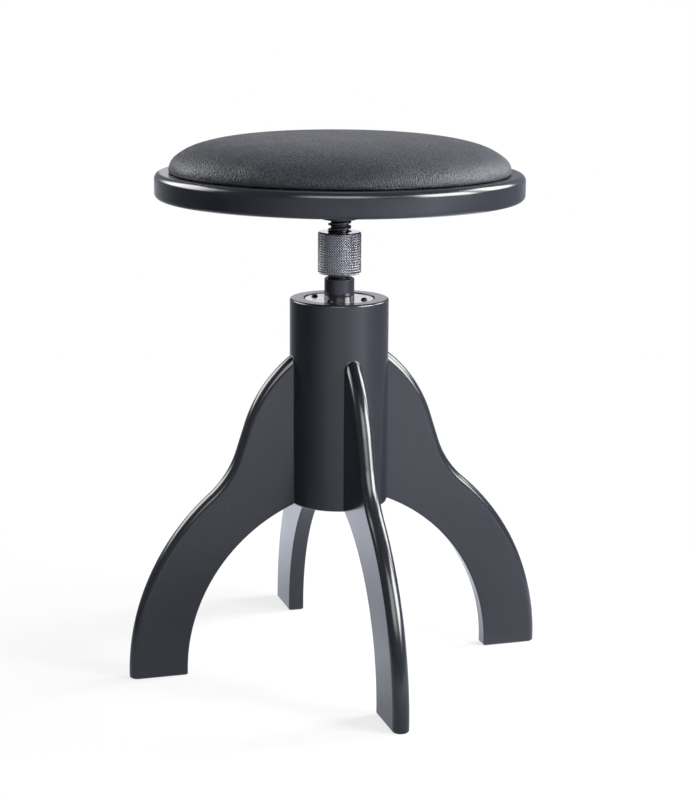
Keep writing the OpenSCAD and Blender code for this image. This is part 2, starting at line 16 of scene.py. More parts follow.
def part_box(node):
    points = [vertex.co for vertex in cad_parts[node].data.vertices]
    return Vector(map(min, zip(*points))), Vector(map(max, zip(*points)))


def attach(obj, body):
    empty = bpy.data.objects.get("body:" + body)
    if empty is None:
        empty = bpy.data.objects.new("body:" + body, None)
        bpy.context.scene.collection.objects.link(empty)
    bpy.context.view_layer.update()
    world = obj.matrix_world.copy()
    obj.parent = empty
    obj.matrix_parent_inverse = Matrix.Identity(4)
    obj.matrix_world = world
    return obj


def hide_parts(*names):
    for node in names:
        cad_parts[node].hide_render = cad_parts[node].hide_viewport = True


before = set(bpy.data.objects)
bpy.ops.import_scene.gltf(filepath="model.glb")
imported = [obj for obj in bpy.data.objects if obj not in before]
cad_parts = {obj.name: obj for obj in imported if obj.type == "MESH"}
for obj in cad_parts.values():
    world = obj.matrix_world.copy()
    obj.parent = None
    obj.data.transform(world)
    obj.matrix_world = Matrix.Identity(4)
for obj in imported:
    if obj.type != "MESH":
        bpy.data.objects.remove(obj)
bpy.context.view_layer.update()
MM = 0.001

# %% [markdown]
# ## Camera
# The photograph was taken from a little above the column's top and from the left of the front
# leg. Its place, direction and focal length were worked out from the outlines of the round
# pieces, whose real shape is known, so the render can be laid over the photograph.

# %% Place the camera where the photograph was taken
CAMERA_AT, CAMERA_WAY, CAMERA_ROLL = (-0.5262, -1.7613, 0.66935), (0.2841, 0.9341, -0.2158), 0.42
SENSOR_WIDTH, FOCAL_LENGTH = 36, 87.51
forward = Vector(CAMERA_WAY).normalized()
level = forward.cross(Vector((0, 0, 1))).normalized()
upright = level.cross(forward)
roll = math.radians(CAMERA_ROLL)
right = level * math.cos(roll) + upright * math.sin(roll)
up = upright * math.cos(roll) - level * math.sin(roll)

lens = bpy.data.cameras.new("photo_camera")
lens.sensor_width, lens.lens = SENSOR_WIDTH, FOCAL_LENGTH
camera = bpy.data.objects.new("photo_camera", lens)
bpy.context.scene.collection.objects.link(camera)
turned_to_view = Matrix((right, up, -forward)).transposed().to_4x4()
camera.matrix_world = Matrix.Translation(CAMERA_AT) @ turned_to_view
bpy.context.scene.camera = camera
print("camera looks along", tuple(round(c, 3) for c in forward))

# %% [markdown]
# ## Outlines and turned pieces
# Most of the stool is turned on a lathe, so most pieces start as half an outline that is swept
# round the upright axis. A real tool never leaves a razor edge: each corner of an outline has
# its own small round, because that round is what catches the light. Corners are given in
# millimetres as radius, height and round.

# %% Round the corners of an outline
def eased(corners, steps=4, closed=False):
    outline, count = [], len(corners)
    for i, (r, z, ease) in enumerate(corners):
        at = Vector((r, z))
        if not ease or (not closed and i in (0, count - 1)):
            outline.append((r, z))
            continue
        a = (Vector(corners[i - 1][:2]) - at).normalized()
        b = (Vector(corners[(i + 1) % count][:2]) - at).normalized()
        half = a.angle(b) / 2
        centre = at + (a + b).normalized() * ease / math.sin(half)
        start, end = at + a * ease / math.tan(half), at + b * ease / math.tan(half)
        for s in range(steps + 1):
            way = (start - centre).slerp(end - centre, s / steps)
            outline.append(tuple(centre + way.normalized() * ease))
    return outline


# %% [markdown]
# Every piece is handed to one function. It shades the mesh smooth but keeps edges sharp where
# the surface really turns, evens the shading so that flats stay flat, hangs the piece under the
# body it rides on, gives it its finish and hides the CAD solid that it stands for.

# %% Turn a mesh into a finished piece
SHARP_TURN = math.radians(38)


def as_mesh(name, points, faces):
    mesh = bpy.data.meshes.new(name)
    mesh.from_pydata([Vector(p) * MM for p in points], [], faces)
    shape = bmesh.new()
    shape.from_mesh(mesh)
    bmesh.ops.recalc_face_normals(shape, faces=shape.faces)
    shape.to_mesh(mesh)
    shape.free()
    return mesh


def in_scene(name, mesh):
    piece = bpy.data.objects.new(name, mesh)
    bpy.context.scene.collection.objects.link(piece)
    return piece


def evaluated(piece):
    made = piece.evaluated_get(bpy.context.evaluated_depsgraph_get())
    return bpy.data.meshes.new_from_object(made)


def finished(name, mesh, finish, body, slot, *nodes):
    piece = in_scene(name, mesh)
    mesh.name = name
    mesh.materials.clear()
    mesh.materials.append(finish)
    mesh.shade_smooth()
    mesh.set_sharp_from_angle(angle=SHARP_TURN)
    even = piece.modifiers.new("even_shading", "WEIGHTED_NORMAL")
    even.keep_sharp = True
    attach(piece, body)
    if nodes:
        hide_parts(*nodes)
    print(f"{name}: {len(mesh.polygons)} faces on {body}")
    return piece


# %% Sweep an outline round the upright axis
ROUND_STEPS = 160


def lathe(name, outline, closed=False, steps=ROUND_STEPS):
    points, rings = [], []
    for r, z in outline:
        if r < MM:
            rings.append([len(points)] * steps)
            points.append((0, 0, z))
            continue
        rings.append([len(points) + s for s in range(steps)])
        for s in range(steps):
            a = math.tau * s / steps
            points.append((r * math.cos(a), r * math.sin(a), z))
    faces = []
    pairs = list(zip(rings, rings[1:])) + ([(rings[-1], rings[0])] if closed else [])
    for low, high in pairs:
        for s in range(steps):
            t = (s + 1) % steps
            corner = list(dict.fromkeys((low[s], low[t], high[t], high[s])))
            if len(corner) > 2:
                faces.append(corner)
    return as_mesh(name, points, faces)


# %% [markdown]
# A closed ring and a plain plug are turned in the same way. A skin that is drawn row by row
# gets its faces from one more function.

# %% Rings, plugs and skins
def turned_ring(name, corners):
    return lathe(name, eased(corners, closed=True), closed=True)


def plug(name, r, z0, z1, steps=48):
    return lathe(name, [(0, z0), (r, z0), (r, z1), (0, z1)], steps=steps)


def between_rows(rows, across, start=0, around=True):
    return [(start + k * across + i, start + k * across + (i + 1) % across,
             start + (k + 1) * across + (i + 1) % across, start + (k + 1) * across + i)
            for k in range(rows - 1) for i in range(across if around else across - 1)]


# %% [markdown]
# Holes are cut as in the workshop: a cutter of the hole's shape is taken away from the blank.
# Several copies of one mesh, moved into place, make one cutter or one set of screws.

# %% Copy, join and cut meshes
def joined(name, mesh, places):
    shape = bmesh.new()
    for place in places:
        start = len(shape.verts)
        shape.from_mesh(mesh)
        shape.verts.ensure_lookup_table()
        bmesh.ops.transform(shape, matrix=place, verts=shape.verts[start:])
    whole = bpy.data.meshes.new(name)
    shape.to_mesh(whole)
    shape.free()
    return whole


def cut_away(mesh, cutter):
    blank, tool = in_scene("blank", mesh), in_scene("tool", cutter)
    cut = blank.modifiers.new("cut", "BOOLEAN")
    cut.operation, cut.solver, cut.object = "DIFFERENCE", "EXACT", tool
    result = evaluated(blank)
    bpy.data.objects.remove(blank)
    bpy.data.objects.remove(tool)
    return result


def on_circle(radius, turn, z, spin=()):
    return [Matrix.Rotation(math.radians(turn + 90 * i), 4, "Z")
            @ Matrix.Translation((radius * MM, 0, z * MM))
            @ Matrix.Rotation(math.radians(spin[i] if spin else 0), 4, "Z") for i in range(4)]


# %% [markdown]
# ## Finishes
# A finish is a Principled shader with something going on in its colour, its roughness and its
# height. Effects that several finishes share are node groups with named inputs. First come
# small helpers that keep the wiring short.

# %% Small helpers for wiring nodes
def wire(tree, value, socket):
    if isinstance(value, bpy.types.NodeSocket):
        tree.links.new(value, socket)
    else:
        socket.default_value = value


def node(tree, kind, settings=(), **inputs):
    made = tree.nodes.new(kind)
    for label, value in dict(settings).items():
        setattr(made, label, value)
    for label, value in inputs.items():
        wire(tree, value, made.inputs[int(label[1:]) if label[1:].isdigit() else label])
    return made


def maths(tree, operation, a, b=0.0):
    return node(tree, "ShaderNodeMath", {"operation": operation}, _0=a, _1=b).outputs[0]


def group(name, inputs, outputs):
    tree = bpy.data.node_groups.new(name, "ShaderNodeTree")
    for label, value in inputs.items():
        made = tree.interface.new_socket(label, in_out="INPUT", socket_type="NodeSocketFloat")
        made.default_value = value
    for label in outputs:
        tree.interface.new_socket(label, in_out="OUTPUT", socket_type="NodeSocketFloat")
    return tree, tree.nodes.new("NodeGroupInput").outputs, tree.nodes.new("NodeGroupOutput").inputs


def spread(tree, value, low, high, from_low=0.0, from_high=1.0):
    made = node(tree, "ShaderNodeMapRange", Value=value)
    for label, bound in (("From Min", from_low), ("From Max", from_high),
                         ("To Min", low), ("To Max", high)):
        wire(tree, bound, made.inputs[label])
    return made.outputs[0]


def vectors(tree, operation, *values):
    made = node(tree, "ShaderNodeVectorMath", {"operation": operation},
                **{f"_{i}": value for i, value in enumerate(values)})
    return made.outputs["Value" if operation in ("LENGTH", "DISTANCE", "DOT_PRODUCT") else "Vector"]


def object_place(tree):
    return node(tree, "ShaderNodeTexCoord").outputs["Object"]


def parts(tree, vector):
    return node(tree, "ShaderNodeSeparateXYZ", Vector=vector).outputs


def from_axis(tree, place):
    return vectors(tree, "LENGTH", vectors(tree, "MULTIPLY", place, (1, 1, 0)))


def noise(tree, place, scale, detail):
    return node(tree, "ShaderNodeTexNoise", Vector=place, Scale=scale, Detail=detail).outputs[0]


# %% [markdown]
# **Mottle** is slow, cloudy change: no real surface has one roughness all over. **Dust** lies
# where a surface looks up. **Turning lines** are the faint rings that a lathe leaves, both
# across a face and along a barrel. **Rubbed by radius** finds the crests of a thread or
# knurl, which hands and nuts keep bright.

# %% Shared effects as node groups
tree, given, out = group("mottle", {"Scale": 20, "Low": 0, "High": 1}, ["Value"])
cloud = noise(tree, object_place(tree), given["Scale"], 3.0)
tree.links.new(spread(tree, cloud, given["Low"], given["High"], 0.3, 0.7), out["Value"])
mottle = tree

tree, given, out = group("dust", {"Scale": 900, "Amount": 0.1}, ["Mask"])
facing = parts(tree, node(tree, "ShaderNodeNewGeometry").outputs["Normal"])
upward = maths(tree, "POWER", maths(tree, "MAXIMUM", facing["Z"]), 3.0)
fleck = spread(tree, noise(tree, object_place(tree), given["Scale"], 2.0), 0.0, 1.0, 0.55, 0.75)
lying = maths(tree, "MULTIPLY", upward, fleck)
tree.links.new(maths(tree, "MULTIPLY", lying, given["Amount"]), out["Mask"])
dust = tree

tree, given, out = group("turning_lines", {"Lines per metre": 2500}, ["Height"])
place = object_place(tree)
along = maths(tree, "ADD", from_axis(tree, place), parts(tree, place)["Z"])
groove = node(tree, "ShaderNodeTexNoise", {"noise_dimensions": "1D"}, W=along,
              Scale=given["Lines per metre"], Detail=2.0)
tree.links.new(groove.outputs[0], out["Height"])
turning_lines = tree

tree, given, out = group("rubbed_by_radius", {"Root": 0.01, "Crest": 0.02}, ["Mask"])
radius = from_axis(tree, object_place(tree))
tree.links.new(spread(tree, radius, 0.0, 1.0, given["Root"], given["Crest"]), out["Mask"])
rubbed_by_radius = tree

# %% [markdown]
# **Wood grain** is noise drawn out along the fibres. Under black lacquer it is almost gone, and
# only a faint sinking of the pores is left. In bare beech it also colours the wood.

# %% Wood grain as a node group
tree, given, out = group("wood_grain", {"Scale": 160, "Stretch": 0.06}, ["Figure", "Pores"])
fibre = node(tree, "ShaderNodeCombineXYZ", X=1.0, Y=1.0, Z=given["Stretch"])
drawn = vectors(tree, "MULTIPLY", object_place(tree), fibre.outputs[0])
fine = noise(tree, drawn, maths(tree, "MULTIPLY", given["Scale"], 8.0), 2.0)
tree.links.new(noise(tree, drawn, given["Scale"], 4.0), out["Figure"])
tree.links.new(spread(tree, fine, 0.0, 1.0, 0.3, 0.45), out["Pores"])
wood_grain = tree

# %% [markdown]
# One function starts a finish and another puts the results into its sockets. Between them
# stand the steps that most finishes share: blend two tones, raise the surface, mottle it and
# rule it with turning lines.

# %% Start a finish, and the pieces of it that repeat
def new_finish(name, metallic=0.0, **constants):
    material = bpy.data.materials.new(name)
    material.use_nodes = True
    shader = material.node_tree.nodes["Principled BSDF"]
    shader.inputs["Metallic"].default_value = metallic
    for label, value in constants.items():
        shader.inputs[label.replace("_", " ")].default_value = value
    return material, material.node_tree, shader.inputs


def use(tree, shared, **inputs):
    made = tree.nodes.new("ShaderNodeGroup")
    made.node_tree = shared
    for label, value in inputs.items():
        wire(tree, value, made.inputs[label.replace("_", " ")])
    return made.outputs


def blended(tree, mask, first, second):
    made = node(tree, "ShaderNodeMix", {"data_type": "RGBA"}, Factor=mask)
    for socket, value in ((made.inputs[6], first), (made.inputs[7], second)):
        wire(tree, (*value, 1) if isinstance(value, tuple) else value, socket)
    return made.outputs[2]


def raised(tree, height, depth, under=None):
    made = node(tree, "ShaderNodeBump", Height=height, Distance=depth)
    if under is not None:
        tree.links.new(under, made.inputs["Normal"])
    return made.outputs[0]


def mottled(tree, scale, low=0.0, high=1.0):
    return use(tree, mottle, Scale=scale, Low=low, High=high)["Value"]


def turned(tree, lines, depth):
    return raised(tree, use(tree, turning_lines, Lines_per_metre=lines)["Height"], depth)


def dress(tree, shader, colour, roughness, normal=None):
    for label, value in (("Base Color", colour), ("Roughness", roughness), ("Normal", normal)):
        if value is not None:
            tree.links.new(value, shader[label])


# %% [markdown]
# ### Black lacquer
# Column, legs and seat board are stained hardwood under a semi-gloss black lacquer. The colour
# is nearly black with a breath of blue. Most of what the eye sees is reflection, so the work
# is in the film: slightly uneven gloss, a faint orange peel from spraying and the pores below.

# %% Black lacquer
black_lacquer, tree, shader = new_finish("black_lacquer", IOR=1.5)
colour = blended(tree, mottled(tree, 9), (0.0095, 0.0105, 0.0145), (0.0125, 0.0140, 0.0185))
specks = use(tree, dust, Scale=1400, Amount=0.10)["Mask"]
peel = raised(tree, noise(tree, object_place(tree), 160.0, 1.0), 0.000015)
pores = use(tree, wood_grain, Scale=240, Stretch=0.05)["Pores"]
dress(tree, shader, blended(tree, specks, colour, (0.32, 0.32, 0.33)),
      mottled(tree, 30, 0.13, 0.19), raised(tree, pores, 0.000005, peel))

# %% [markdown]
# ### Imitation leather
# The cushion's cover is a dark grey coated cloth with a fine pebble grain. Cells of a Voronoi
# texture make the pebbles, drawn out one way as the cloth was pressed, a finer noise breaks
# them up, and the valleys between them are a little darker and duller than the tops. Towards
# the foot of the cover the colour is painted darker: painted shade in the crease at the board.

# %% Imitation leather
GRAIN_TURN, GRAIN_DRAWN = 0.3, 0.5
imitation_leather, tree, shader = new_finish("imitation_leather", Specular_IOR_Level=0.17)
place = object_place(tree)
drawn = node(tree, "ShaderNodeMapping", Vector=place, Rotation=(0, 0, GRAIN_TURN),
             Scale=(1.0, GRAIN_DRAWN, GRAIN_DRAWN)).outputs[0]
wander = node(tree, "ShaderNodeTexNoise", Vector=drawn, Scale=300.0, Detail=2.0)
shift = vectors(tree, "MULTIPLY_ADD", wander.outputs["Color"], (0.0012, 0.0012, 0.0012), drawn)
pebble = node(tree, "ShaderNodeTexVoronoi", {"feature": "SMOOTH_F1"}, Vector=shift,
              Scale=860.0, Smoothness=0.2).outputs["Distance"]
valley = spread(tree, pebble, 0.0, 1.0, 0.25, 0.62)
colour = blended(tree, mottled(tree, 14), (0.045, 0.0490, 0.0575), (0.0555, 0.0600, 0.0695))
colour = blended(tree, valley, colour, (0.022, 0.0240, 0.0280))
foot_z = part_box("cushion_cover")[0].z
# painted shade: the colour darkens over the lowest few millimetres of the cover, at the crease
painted_foot_shade = spread(tree, parts(tree, place)["Z"], 0.65, 0.0, foot_z + 0.0003, foot_z + 0.0035)
duller = maths(tree, "MULTIPLY", valley, 0.14)
skin = raised(tree, noise(tree, place, 2600.0, 2.0), 0.00003)
dress(tree, shader, blended(tree, painted_foot_shade, colour, (0.008, 0.009, 0.011)),
      maths(tree, "ADD", mottled(tree, 40, 0.38, 0.44), duller),
      raised(tree, maths(tree, "SUBTRACT", 1.0, pebble), 0.0004, skin))

# %% [markdown]
# ### Steels
# Four steels tell the story of the mechanism: bright zinc on the plate and the fixings,
# blackened steel on tube, hub and screws, an oiled dark spindle whose crests are rubbed, and
# gunmetal on the knurled sleeve with bright tips where hands have held it. The sleeve's faces
# that look up get a painted highlight: their colour is painted near white.

# %% Four steels
zinc_steel, tree, shader = new_finish("zinc_steel", metallic=1.0)
dress(tree, shader, blended(tree, mottled(tree, 60), (0.60, 0.585, 0.605), (0.72, 0.705, 0.725)),
      mottled(tree, 110, 0.16, 0.23), turned(tree, 3200, 0.000004))

blackened_steel, tree, shader = new_finish("blackened_steel", IOR=1.46)
dress(tree, shader, blended(tree, mottled(tree, 50), (0.013, 0.013, 0.017), (0.019, 0.019, 0.025)),
      mottled(tree, 90, 0.06, 0.11), turned(tree, 2600, 0.000002))

oiled_spindle, tree, shader = new_finish("oiled_spindle", metallic=1.0)
crest = use(tree, rubbed_by_radius, Root=0.0088, Crest=0.0109)["Mask"]
dress(tree, shader, blended(tree, crest, (0.032, 0.032, 0.036), (0.050, 0.050, 0.056)),
      mottled(tree, 200, 0.30, 0.42), turned(tree, 4000, 0.000008))

gunmetal, tree, shader = new_finish("gunmetal", metallic=1.0)
tip = use(tree, rubbed_by_radius, Root=0.0203, Crest=0.0207)["Mask"]
knurled = use(tree, rubbed_by_radius, Root=0.02018, Crest=0.0203)["Mask"]
facing = parts(tree, node(tree, "ShaderNodeNewGeometry").outputs["Normal"])
# painted highlight: faces that look up are painted near white
painted_top_highlight = spread(tree, facing["Z"], 0.0, 1.0, 0.90, 0.98)
dull = blended(tree, mottled(tree, 120), (0.115, 0.115, 0.128), (0.155, 0.155, 0.171))
worn = blended(tree, tip, dull, (0.30, 0.30, 0.325))
dress(tree, shader, blended(tree, painted_top_highlight, worn, (0.80, 0.80, 0.83)),
      spread(tree, knurled, 0.14, 0.27))

# %% [markdown]
# ### What lies inside
# Dowels, cushion board and foam are never seen, but they are dressed as what they are: bare
# beech with its grain, cream foam with its open cells, and matt black plastic for the ring.

# %% Bare timber, foam and plastic
bare_timber, tree, shader = new_finish("bare_timber")
grain = use(tree, wood_grain, Scale=90, Stretch=0.12)
dress(tree, shader, blended(tree, grain["Figure"], (0.50, 0.34, 0.19), (0.68, 0.51, 0.33)),
      mottled(tree, 80, 0.55, 0.7), raised(tree, grain["Pores"], 0.00005))

open_foam, tree, shader = new_finish("open_foam")
cells = node(tree, "ShaderNodeTexVoronoi", Vector=object_place(tree), Scale=1100.0)
dress(tree, shader, blended(tree, mottled(tree, 25), (0.76, 0.70, 0.55), (0.84, 0.79, 0.66)),
      mottled(tree, 60, 0.85, 0.95), raised(tree, cells.outputs["Distance"], 0.0004))

black_plastic, tree, shader = new_finish("black_plastic")
dress(tree, shader, blended(tree, mottled(tree, 70), (0.018, 0.018, 0.019), (0.030, 0.030, 0.031)),
      mottled(tree, 200, 0.45, 0.6))
print("finishes:", len([m for m in bpy.data.materials if m.use_nodes]))

# %% [markdown]
# ## Heights
# The stool is one column of heights, from the floor up, in millimetres. They are read from
# the boxes of the imported nodes, so they repeat the CAD drawing.

# %% Heights of the pieces, read from the imported nodes
def heights(name):
    foot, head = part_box(name)
    return foot.z / MM, head.z / MM


FIT = 0.05
column_z0, column_z1 = heights("column")
plate_z0, plate_z1 = heights("top_plate")
tube_z0, tube_z1 = heights("guide_tube")
lock_z0, lock_z1 = heights("lock_nut")
hub_z0, hub_z1 = heights("seat_hub")
board_z0, board_z1 = heights("seat_board")
cover_z0, cover_z1 = heights("cushion_cover")
print("column", round(column_z0, 2), round(column_z1, 2), "seat board", round(board_z0, 2),
      round(board_z1, 2), "top of the cushion", round(cover_z1, 2))

# %% [markdown]
# ## Column
# The column is turned from one block. Its top is sunk for the steel plate and bored for the
# tube, and three holes behind each leg take the dowels. Edges are rounded by a few
# millimetres, more at the top, where the photograph shows a soft bright line.

# %% Turn the column and bore it
COLUMN_R, SINK_R, BORE_R, BORE_DEPTH = 47.5, 34.0, 14.45, 160
DOWEL_HOLE_R, DOWEL_DEPTH, DOWEL_RISE, DOWEL_STEP = 5.05, 18.05, 26, 48
bore_z0 = column_z1 - BORE_DEPTH
column_mesh = lathe("column_blank", eased([
    (0, column_z0, 0), (COLUMN_R, column_z0, 2), (COLUMN_R, column_z1, 2.2),
    (SINK_R, column_z1, 0.5), (SINK_R, plate_z0, 0), (BORE_R, plate_z0, 0),
    (BORE_R, bore_z0, 0), (0, bore_z0, 0)], steps=6))
hole = plug("hole", DOWEL_HOLE_R, -DOWEL_DEPTH, DOWEL_DEPTH, steps=32)
sideways = Matrix.Rotation(math.radians(90), 4, "Y")


def dowel_holes(turns):
    return joined("drill", hole, [
        Matrix.Rotation(math.radians(turn), 4, "Z")
        @ Matrix.Translation((COLUMN_R * MM, 0, (column_z0 + DOWEL_RISE + DOWEL_STEP * i) * MM))
        @ sideways for turn in turns for i in range(3)])


finished("column_turned", cut_away(column_mesh, dowel_holes((0, 90, 180, 270))), black_lacquer,
         "base", "black_lacquer", "column")

# %% [markdown]
# ## Legs
# Each leg is sawn from a 16 mm board along four arcs that run into each other: shoulder,
# straight flank, hollow and the long band down to the foot. The outer edge is rounded over
# completely, the inner one only eased, and the foot's corners are broken so that it doesn't
# splinter. A leg is made as one skin: the same outline is drawn at many places across the
# thickness, a little further in towards both faces.

# %% The four arcs of a leg
NOSE_R, OUTER_R, INNER_R, INNER_EASE, FOOT_EASE = 8.0, 228.0, 172.0, 1.5, 2.0
SHOULDER_R, SHOULDER_END, FLANK_LEAN, FLANK_L = 132.0, math.radians(53), math.radians(18), 28.0
LEG_RISE = 146.5
leg_top = column_z0 + LEG_RISE
band_centre = Vector((-19.0, 5.0))
shoulder_centre = Vector((COLUMN_R - SHOULDER_R * math.cos(SHOULDER_END),
                          leg_top - SHOULDER_R * math.sin(SHOULDER_END)))
flank_out = Vector((math.cos(FLANK_LEAN), math.sin(FLANK_LEAN)))
flank_down = Vector((math.sin(FLANK_LEAN), -math.cos(FLANK_LEAN)))
flank_foot = shoulder_centre + SHOULDER_R * flank_out + FLANK_L * flank_down
stretch = flank_foot - band_centre
hollow_r = (stretch.length_squared - OUTER_R ** 2) / (2 * (OUTER_R - stretch.dot(flank_out)))
hollow_centre = flank_foot + hollow_r * flank_out
hollow_turn = math.atan2(*reversed(hollow_centre - band_centre))
print("hollow radius", round(hollow_r, 1), "leg top", round(leg_top, 1))

# %% One leg as a closed skin
FOOT_STEPS, BAND_STEPS, HOLLOW_STEPS, SHOULDER_STEPS, NOSE_STEPS = 4, 44, 22, 24, 24


def sweep(centre, r, start, end, steps):
    return [(centre.x + r * math.cos(a), centre.y + r * math.sin(a))
            for a in (start + (end - start) * i / steps for i in range(steps + 1))]


def at_height(r, z):
    return math.asin((z - band_centre.y) / r)


def nose(k):
    turn = math.pi * k / NOSE_STEPS - math.pi / 2
    return turn, NOSE_R * math.sin(turn), NOSE_R * (1 - math.cos(turn))


def leg_outline(k):
    _, y, back = nose(k)
    past = max(0.0, abs(y) - NOSE_R + INNER_EASE)
    ease = INNER_EASE - math.sqrt(max(0.0, INNER_EASE ** 2 - past ** 2))
    butt = math.sqrt((COLUMN_R + FIT) ** 2 - y ** 2)
    outer_r, inner_r, top_r = OUTER_R - back, INNER_R + ease, SHOULDER_R - back
    outer = sweep(band_centre, outer_r, at_height(outer_r, FOOT_EASE), hollow_turn, BAND_STEPS)
    outer += sweep(hollow_centre, hollow_r + back, math.pi + hollow_turn, math.pi + FLANK_LEAN,
                   HOLLOW_STEPS)[1:]
    outer += sweep(shoulder_centre, top_r, FLANK_LEAN,
                   math.acos((butt - shoulder_centre.x) / top_r), SHOULDER_STEPS)
    inner = sweep(band_centre, inner_r, math.acos((butt - band_centre.x) / inner_r),
                  at_height(inner_r, FOOT_EASE), len(outer) - 1)
    heel, toe = [], []
    for i in range(1, FOOT_STEPS + 1):
        lean = math.radians(90) * i / FOOT_STEPS
        z, drawn = FOOT_EASE * (1 - math.sin(lean)), FOOT_EASE * (1 - math.cos(lean))
        narrow = 1 - drawn / NOSE_R
        full_x = band_centre.x + OUTER_R * math.cos(at_height(OUTER_R, z)) - NOSE_R
        inner_x = band_centre.x + inner_r * math.cos(at_height(inner_r, z))
        toe.append((full_x + (NOSE_R - back) * narrow, y * narrow, z))
        heel.append((inner_x + drawn, y * narrow, z))
    return toe[::-1] + [(x, y, z) for x, z in outer] + [(x, y, z) for x, z in inner] + heel


rows = [leg_outline(k) for k in range(NOSE_STEPS + 1)]
count = len(rows[0])
sides = [(start + i, start + i + 1, start + count - 2 - i, start + count - 1 - i)
         for start in (0, NOSE_STEPS * count) for i in range(count // 2 - 1)]
leg_mesh = as_mesh("leg_blank", [p for row in rows for p in row],
                   between_rows(len(rows), count) + sides)
leg_mesh = cut_away(leg_mesh, dowel_holes((0,)))

# %% Four legs, turned to the four sides
LEG_TURNS = {"leg_front": -90, "leg_right": 0, "leg_back": 90, "leg_left": 180}


def turned_to(name, mesh):
    return joined(name, mesh, [Matrix.Rotation(math.radians(LEG_TURNS[name]), 4, "Z")])


for name in LEG_TURNS:
    finished(name + "_board", turned_to(name, leg_mesh), black_lacquer, "base", "black_lacquer", name)

# %% [markdown]
# Where a leg meets the column the lacquer has run together into a fine hollow fillet. It draws
# a thin bright line down each joint and an arch over the leg's top, so it is made as its own
# thread of lacquer: a hollow quarter round, swept up one side of the leg, over its rounded
# edge and down the other side.

# %% A thread of lacquer along each joint
FILLET_R, FILLET_STEPS, FILLET_SINK, SIDE_POINTS = 1.8, 8, 0.04, 30
FOOT_GAP, CREST_GAP, FILLET_ROOT = 2.5, 1.5, 0.3


def joint_path():
    crest = []
    for k in range(1, NOSE_STEPS):
        turn, y, back = nose(k)
        butt = math.sqrt(COLUMN_R ** 2 - y ** 2)
        rise = math.acos((butt - shoulder_centre.x) / (SHOULDER_R - back))
        z = shoulder_centre.y + (SHOULDER_R - back) * math.sin(rise)
        crest.append((Vector((butt, y, z)), Vector((
            math.cos(turn) * math.cos(rise), math.sin(turn), math.cos(turn) * math.sin(rise)))))
    path = []
    for side, end in ((-1, crest[0]), (1, crest[-1])):
        butt = math.sqrt(COLUMN_R ** 2 - NOSE_R ** 2)
        climb = [column_z0 + FOOT_GAP + (end[0].z - CREST_GAP - column_z0 - FOOT_GAP)
                 * i / SIDE_POINTS for i in range(SIDE_POINTS + 1)]
        flank = [(Vector((butt, side * NOSE_R, z)), Vector((0, side, 0))) for z in climb]
        path = path + flank if side < 0 else path + crest + flank[::-1]
    return path


points = []
for at, leg_way in joint_path():
    column_way = Vector((at.x, at.y, 0)).normalized()
    bend = column_way.angle(leg_way)
    reach = FILLET_R * math.tan(bend / 2)
    away = (leg_way - column_way * leg_way.dot(column_way)).normalized()
    sunk = at - (column_way + leg_way) * FILLET_SINK
    centre = sunk + away * reach + column_way * FILLET_R
    points += [centre - column_way.slerp(leg_way, i / FILLET_STEPS).normalized() * FILLET_R
               for i in range(FILLET_STEPS + 1)]
    points.append(sunk - (column_way + leg_way) * FILLET_ROOT)
across = FILLET_STEPS + 2
rows_made = len(points) // across
faces = between_rows(rows_made, across)
faces += [tuple(range(across)), tuple(range((rows_made - 1) * across, rows_made * across))]
fillet_mesh = as_mesh("fillet_blank", points, faces)
for name in LEG_TURNS:
    finished(name + "_fillet", turned_to(name, fillet_mesh), black_lacquer, "base", "black_lacquer")

# %% [markdown]
# ## Screws
# Two kinds of screw show: dark raised countersunk ones in the plate, and bright pan heads
# below the seat. Both have a cross recess, pressed in with sloping walls. It is cut in one
# bite: a tapered cross is taken out of each head.

# %% Screw heads with a cross recess
CROSS_TOP, CROSS_FOOT_SHARE, CROSS_TAPER = 1.0, 0.45, 0.55


def cross_cutter(arm, slot, depth):
    points, faces = [], []
    for turn in (0, 90):
        a = math.radians(turn)
        base = len(points)
        for z, share in ((-depth, CROSS_FOOT_SHARE), (CROSS_TOP, 1.0 + CROSS_TAPER * CROSS_TOP / depth)):
            for x, y in ((-1, -1), (1, -1), (1, 1), (-1, 1)):
                px, py = x * arm / 2 * share, y * slot / 2 * (0.5 + 0.5 * share)
                points.append((px * math.cos(a) - py * math.sin(a),
                               px * math.sin(a) + py * math.cos(a), z))
        faces += [[base + i for i in f] for f in (
            (3, 2, 1, 0), (4, 5, 6, 7), (0, 1, 5, 4), (1, 2, 6, 5), (2, 3, 7, 6), (3, 0, 4, 7))]
    return as_mesh("cross", points, faces)


def crossed(head, rise, arm, slot, depth):
    lifted = Matrix.Translation((0, 0, rise * MM))
    return cut_away(head, joined("cross", cross_cutter(arm, slot, depth), [lifted]))


SHANK_STEPS = 48
PLATE_CIRCLE, SEAT_CIRCLE, CUSHION_CIRCLE = (25.5, 52), (43, 45), (110, 0)
HEAD_R, HEAD_RISE, SHANK_R, LIFT = 3.5, 2.4, 1.75, 0.05
countersunk = lathe("countersunk", [
    ((HEAD_R - 0.4) * math.sin(math.radians(a)), LIFT + HEAD_RISE * math.cos(math.radians(a)))
    for a in range(0, 90, 15)] + eased([
        (HEAD_R, LIFT, 0), (HEAD_R, 0.0, 0), (SHANK_R, -SHANK_R, 0.1), (SHANK_R, -20.8, 0),
        (0, -25, 0)]),
    steps=SHANK_STEPS)
countersunk = crossed(countersunk, HEAD_RISE, 4.3, 1.1, 1.6)
plate_screws = joined("plate_screws", countersunk,
                      on_circle(*PLATE_CIRCLE, plate_z1, (20, 63, 5, 41)))
finished("plate_screws_dark", plate_screws, blackened_steel, "base", "blackened_steel",
         "plate_screws")

PAN_R, PAN_SIDE, PAN_RISE, PAN_SHANK_R = 4.5, 2.0, 1.0, 2.25


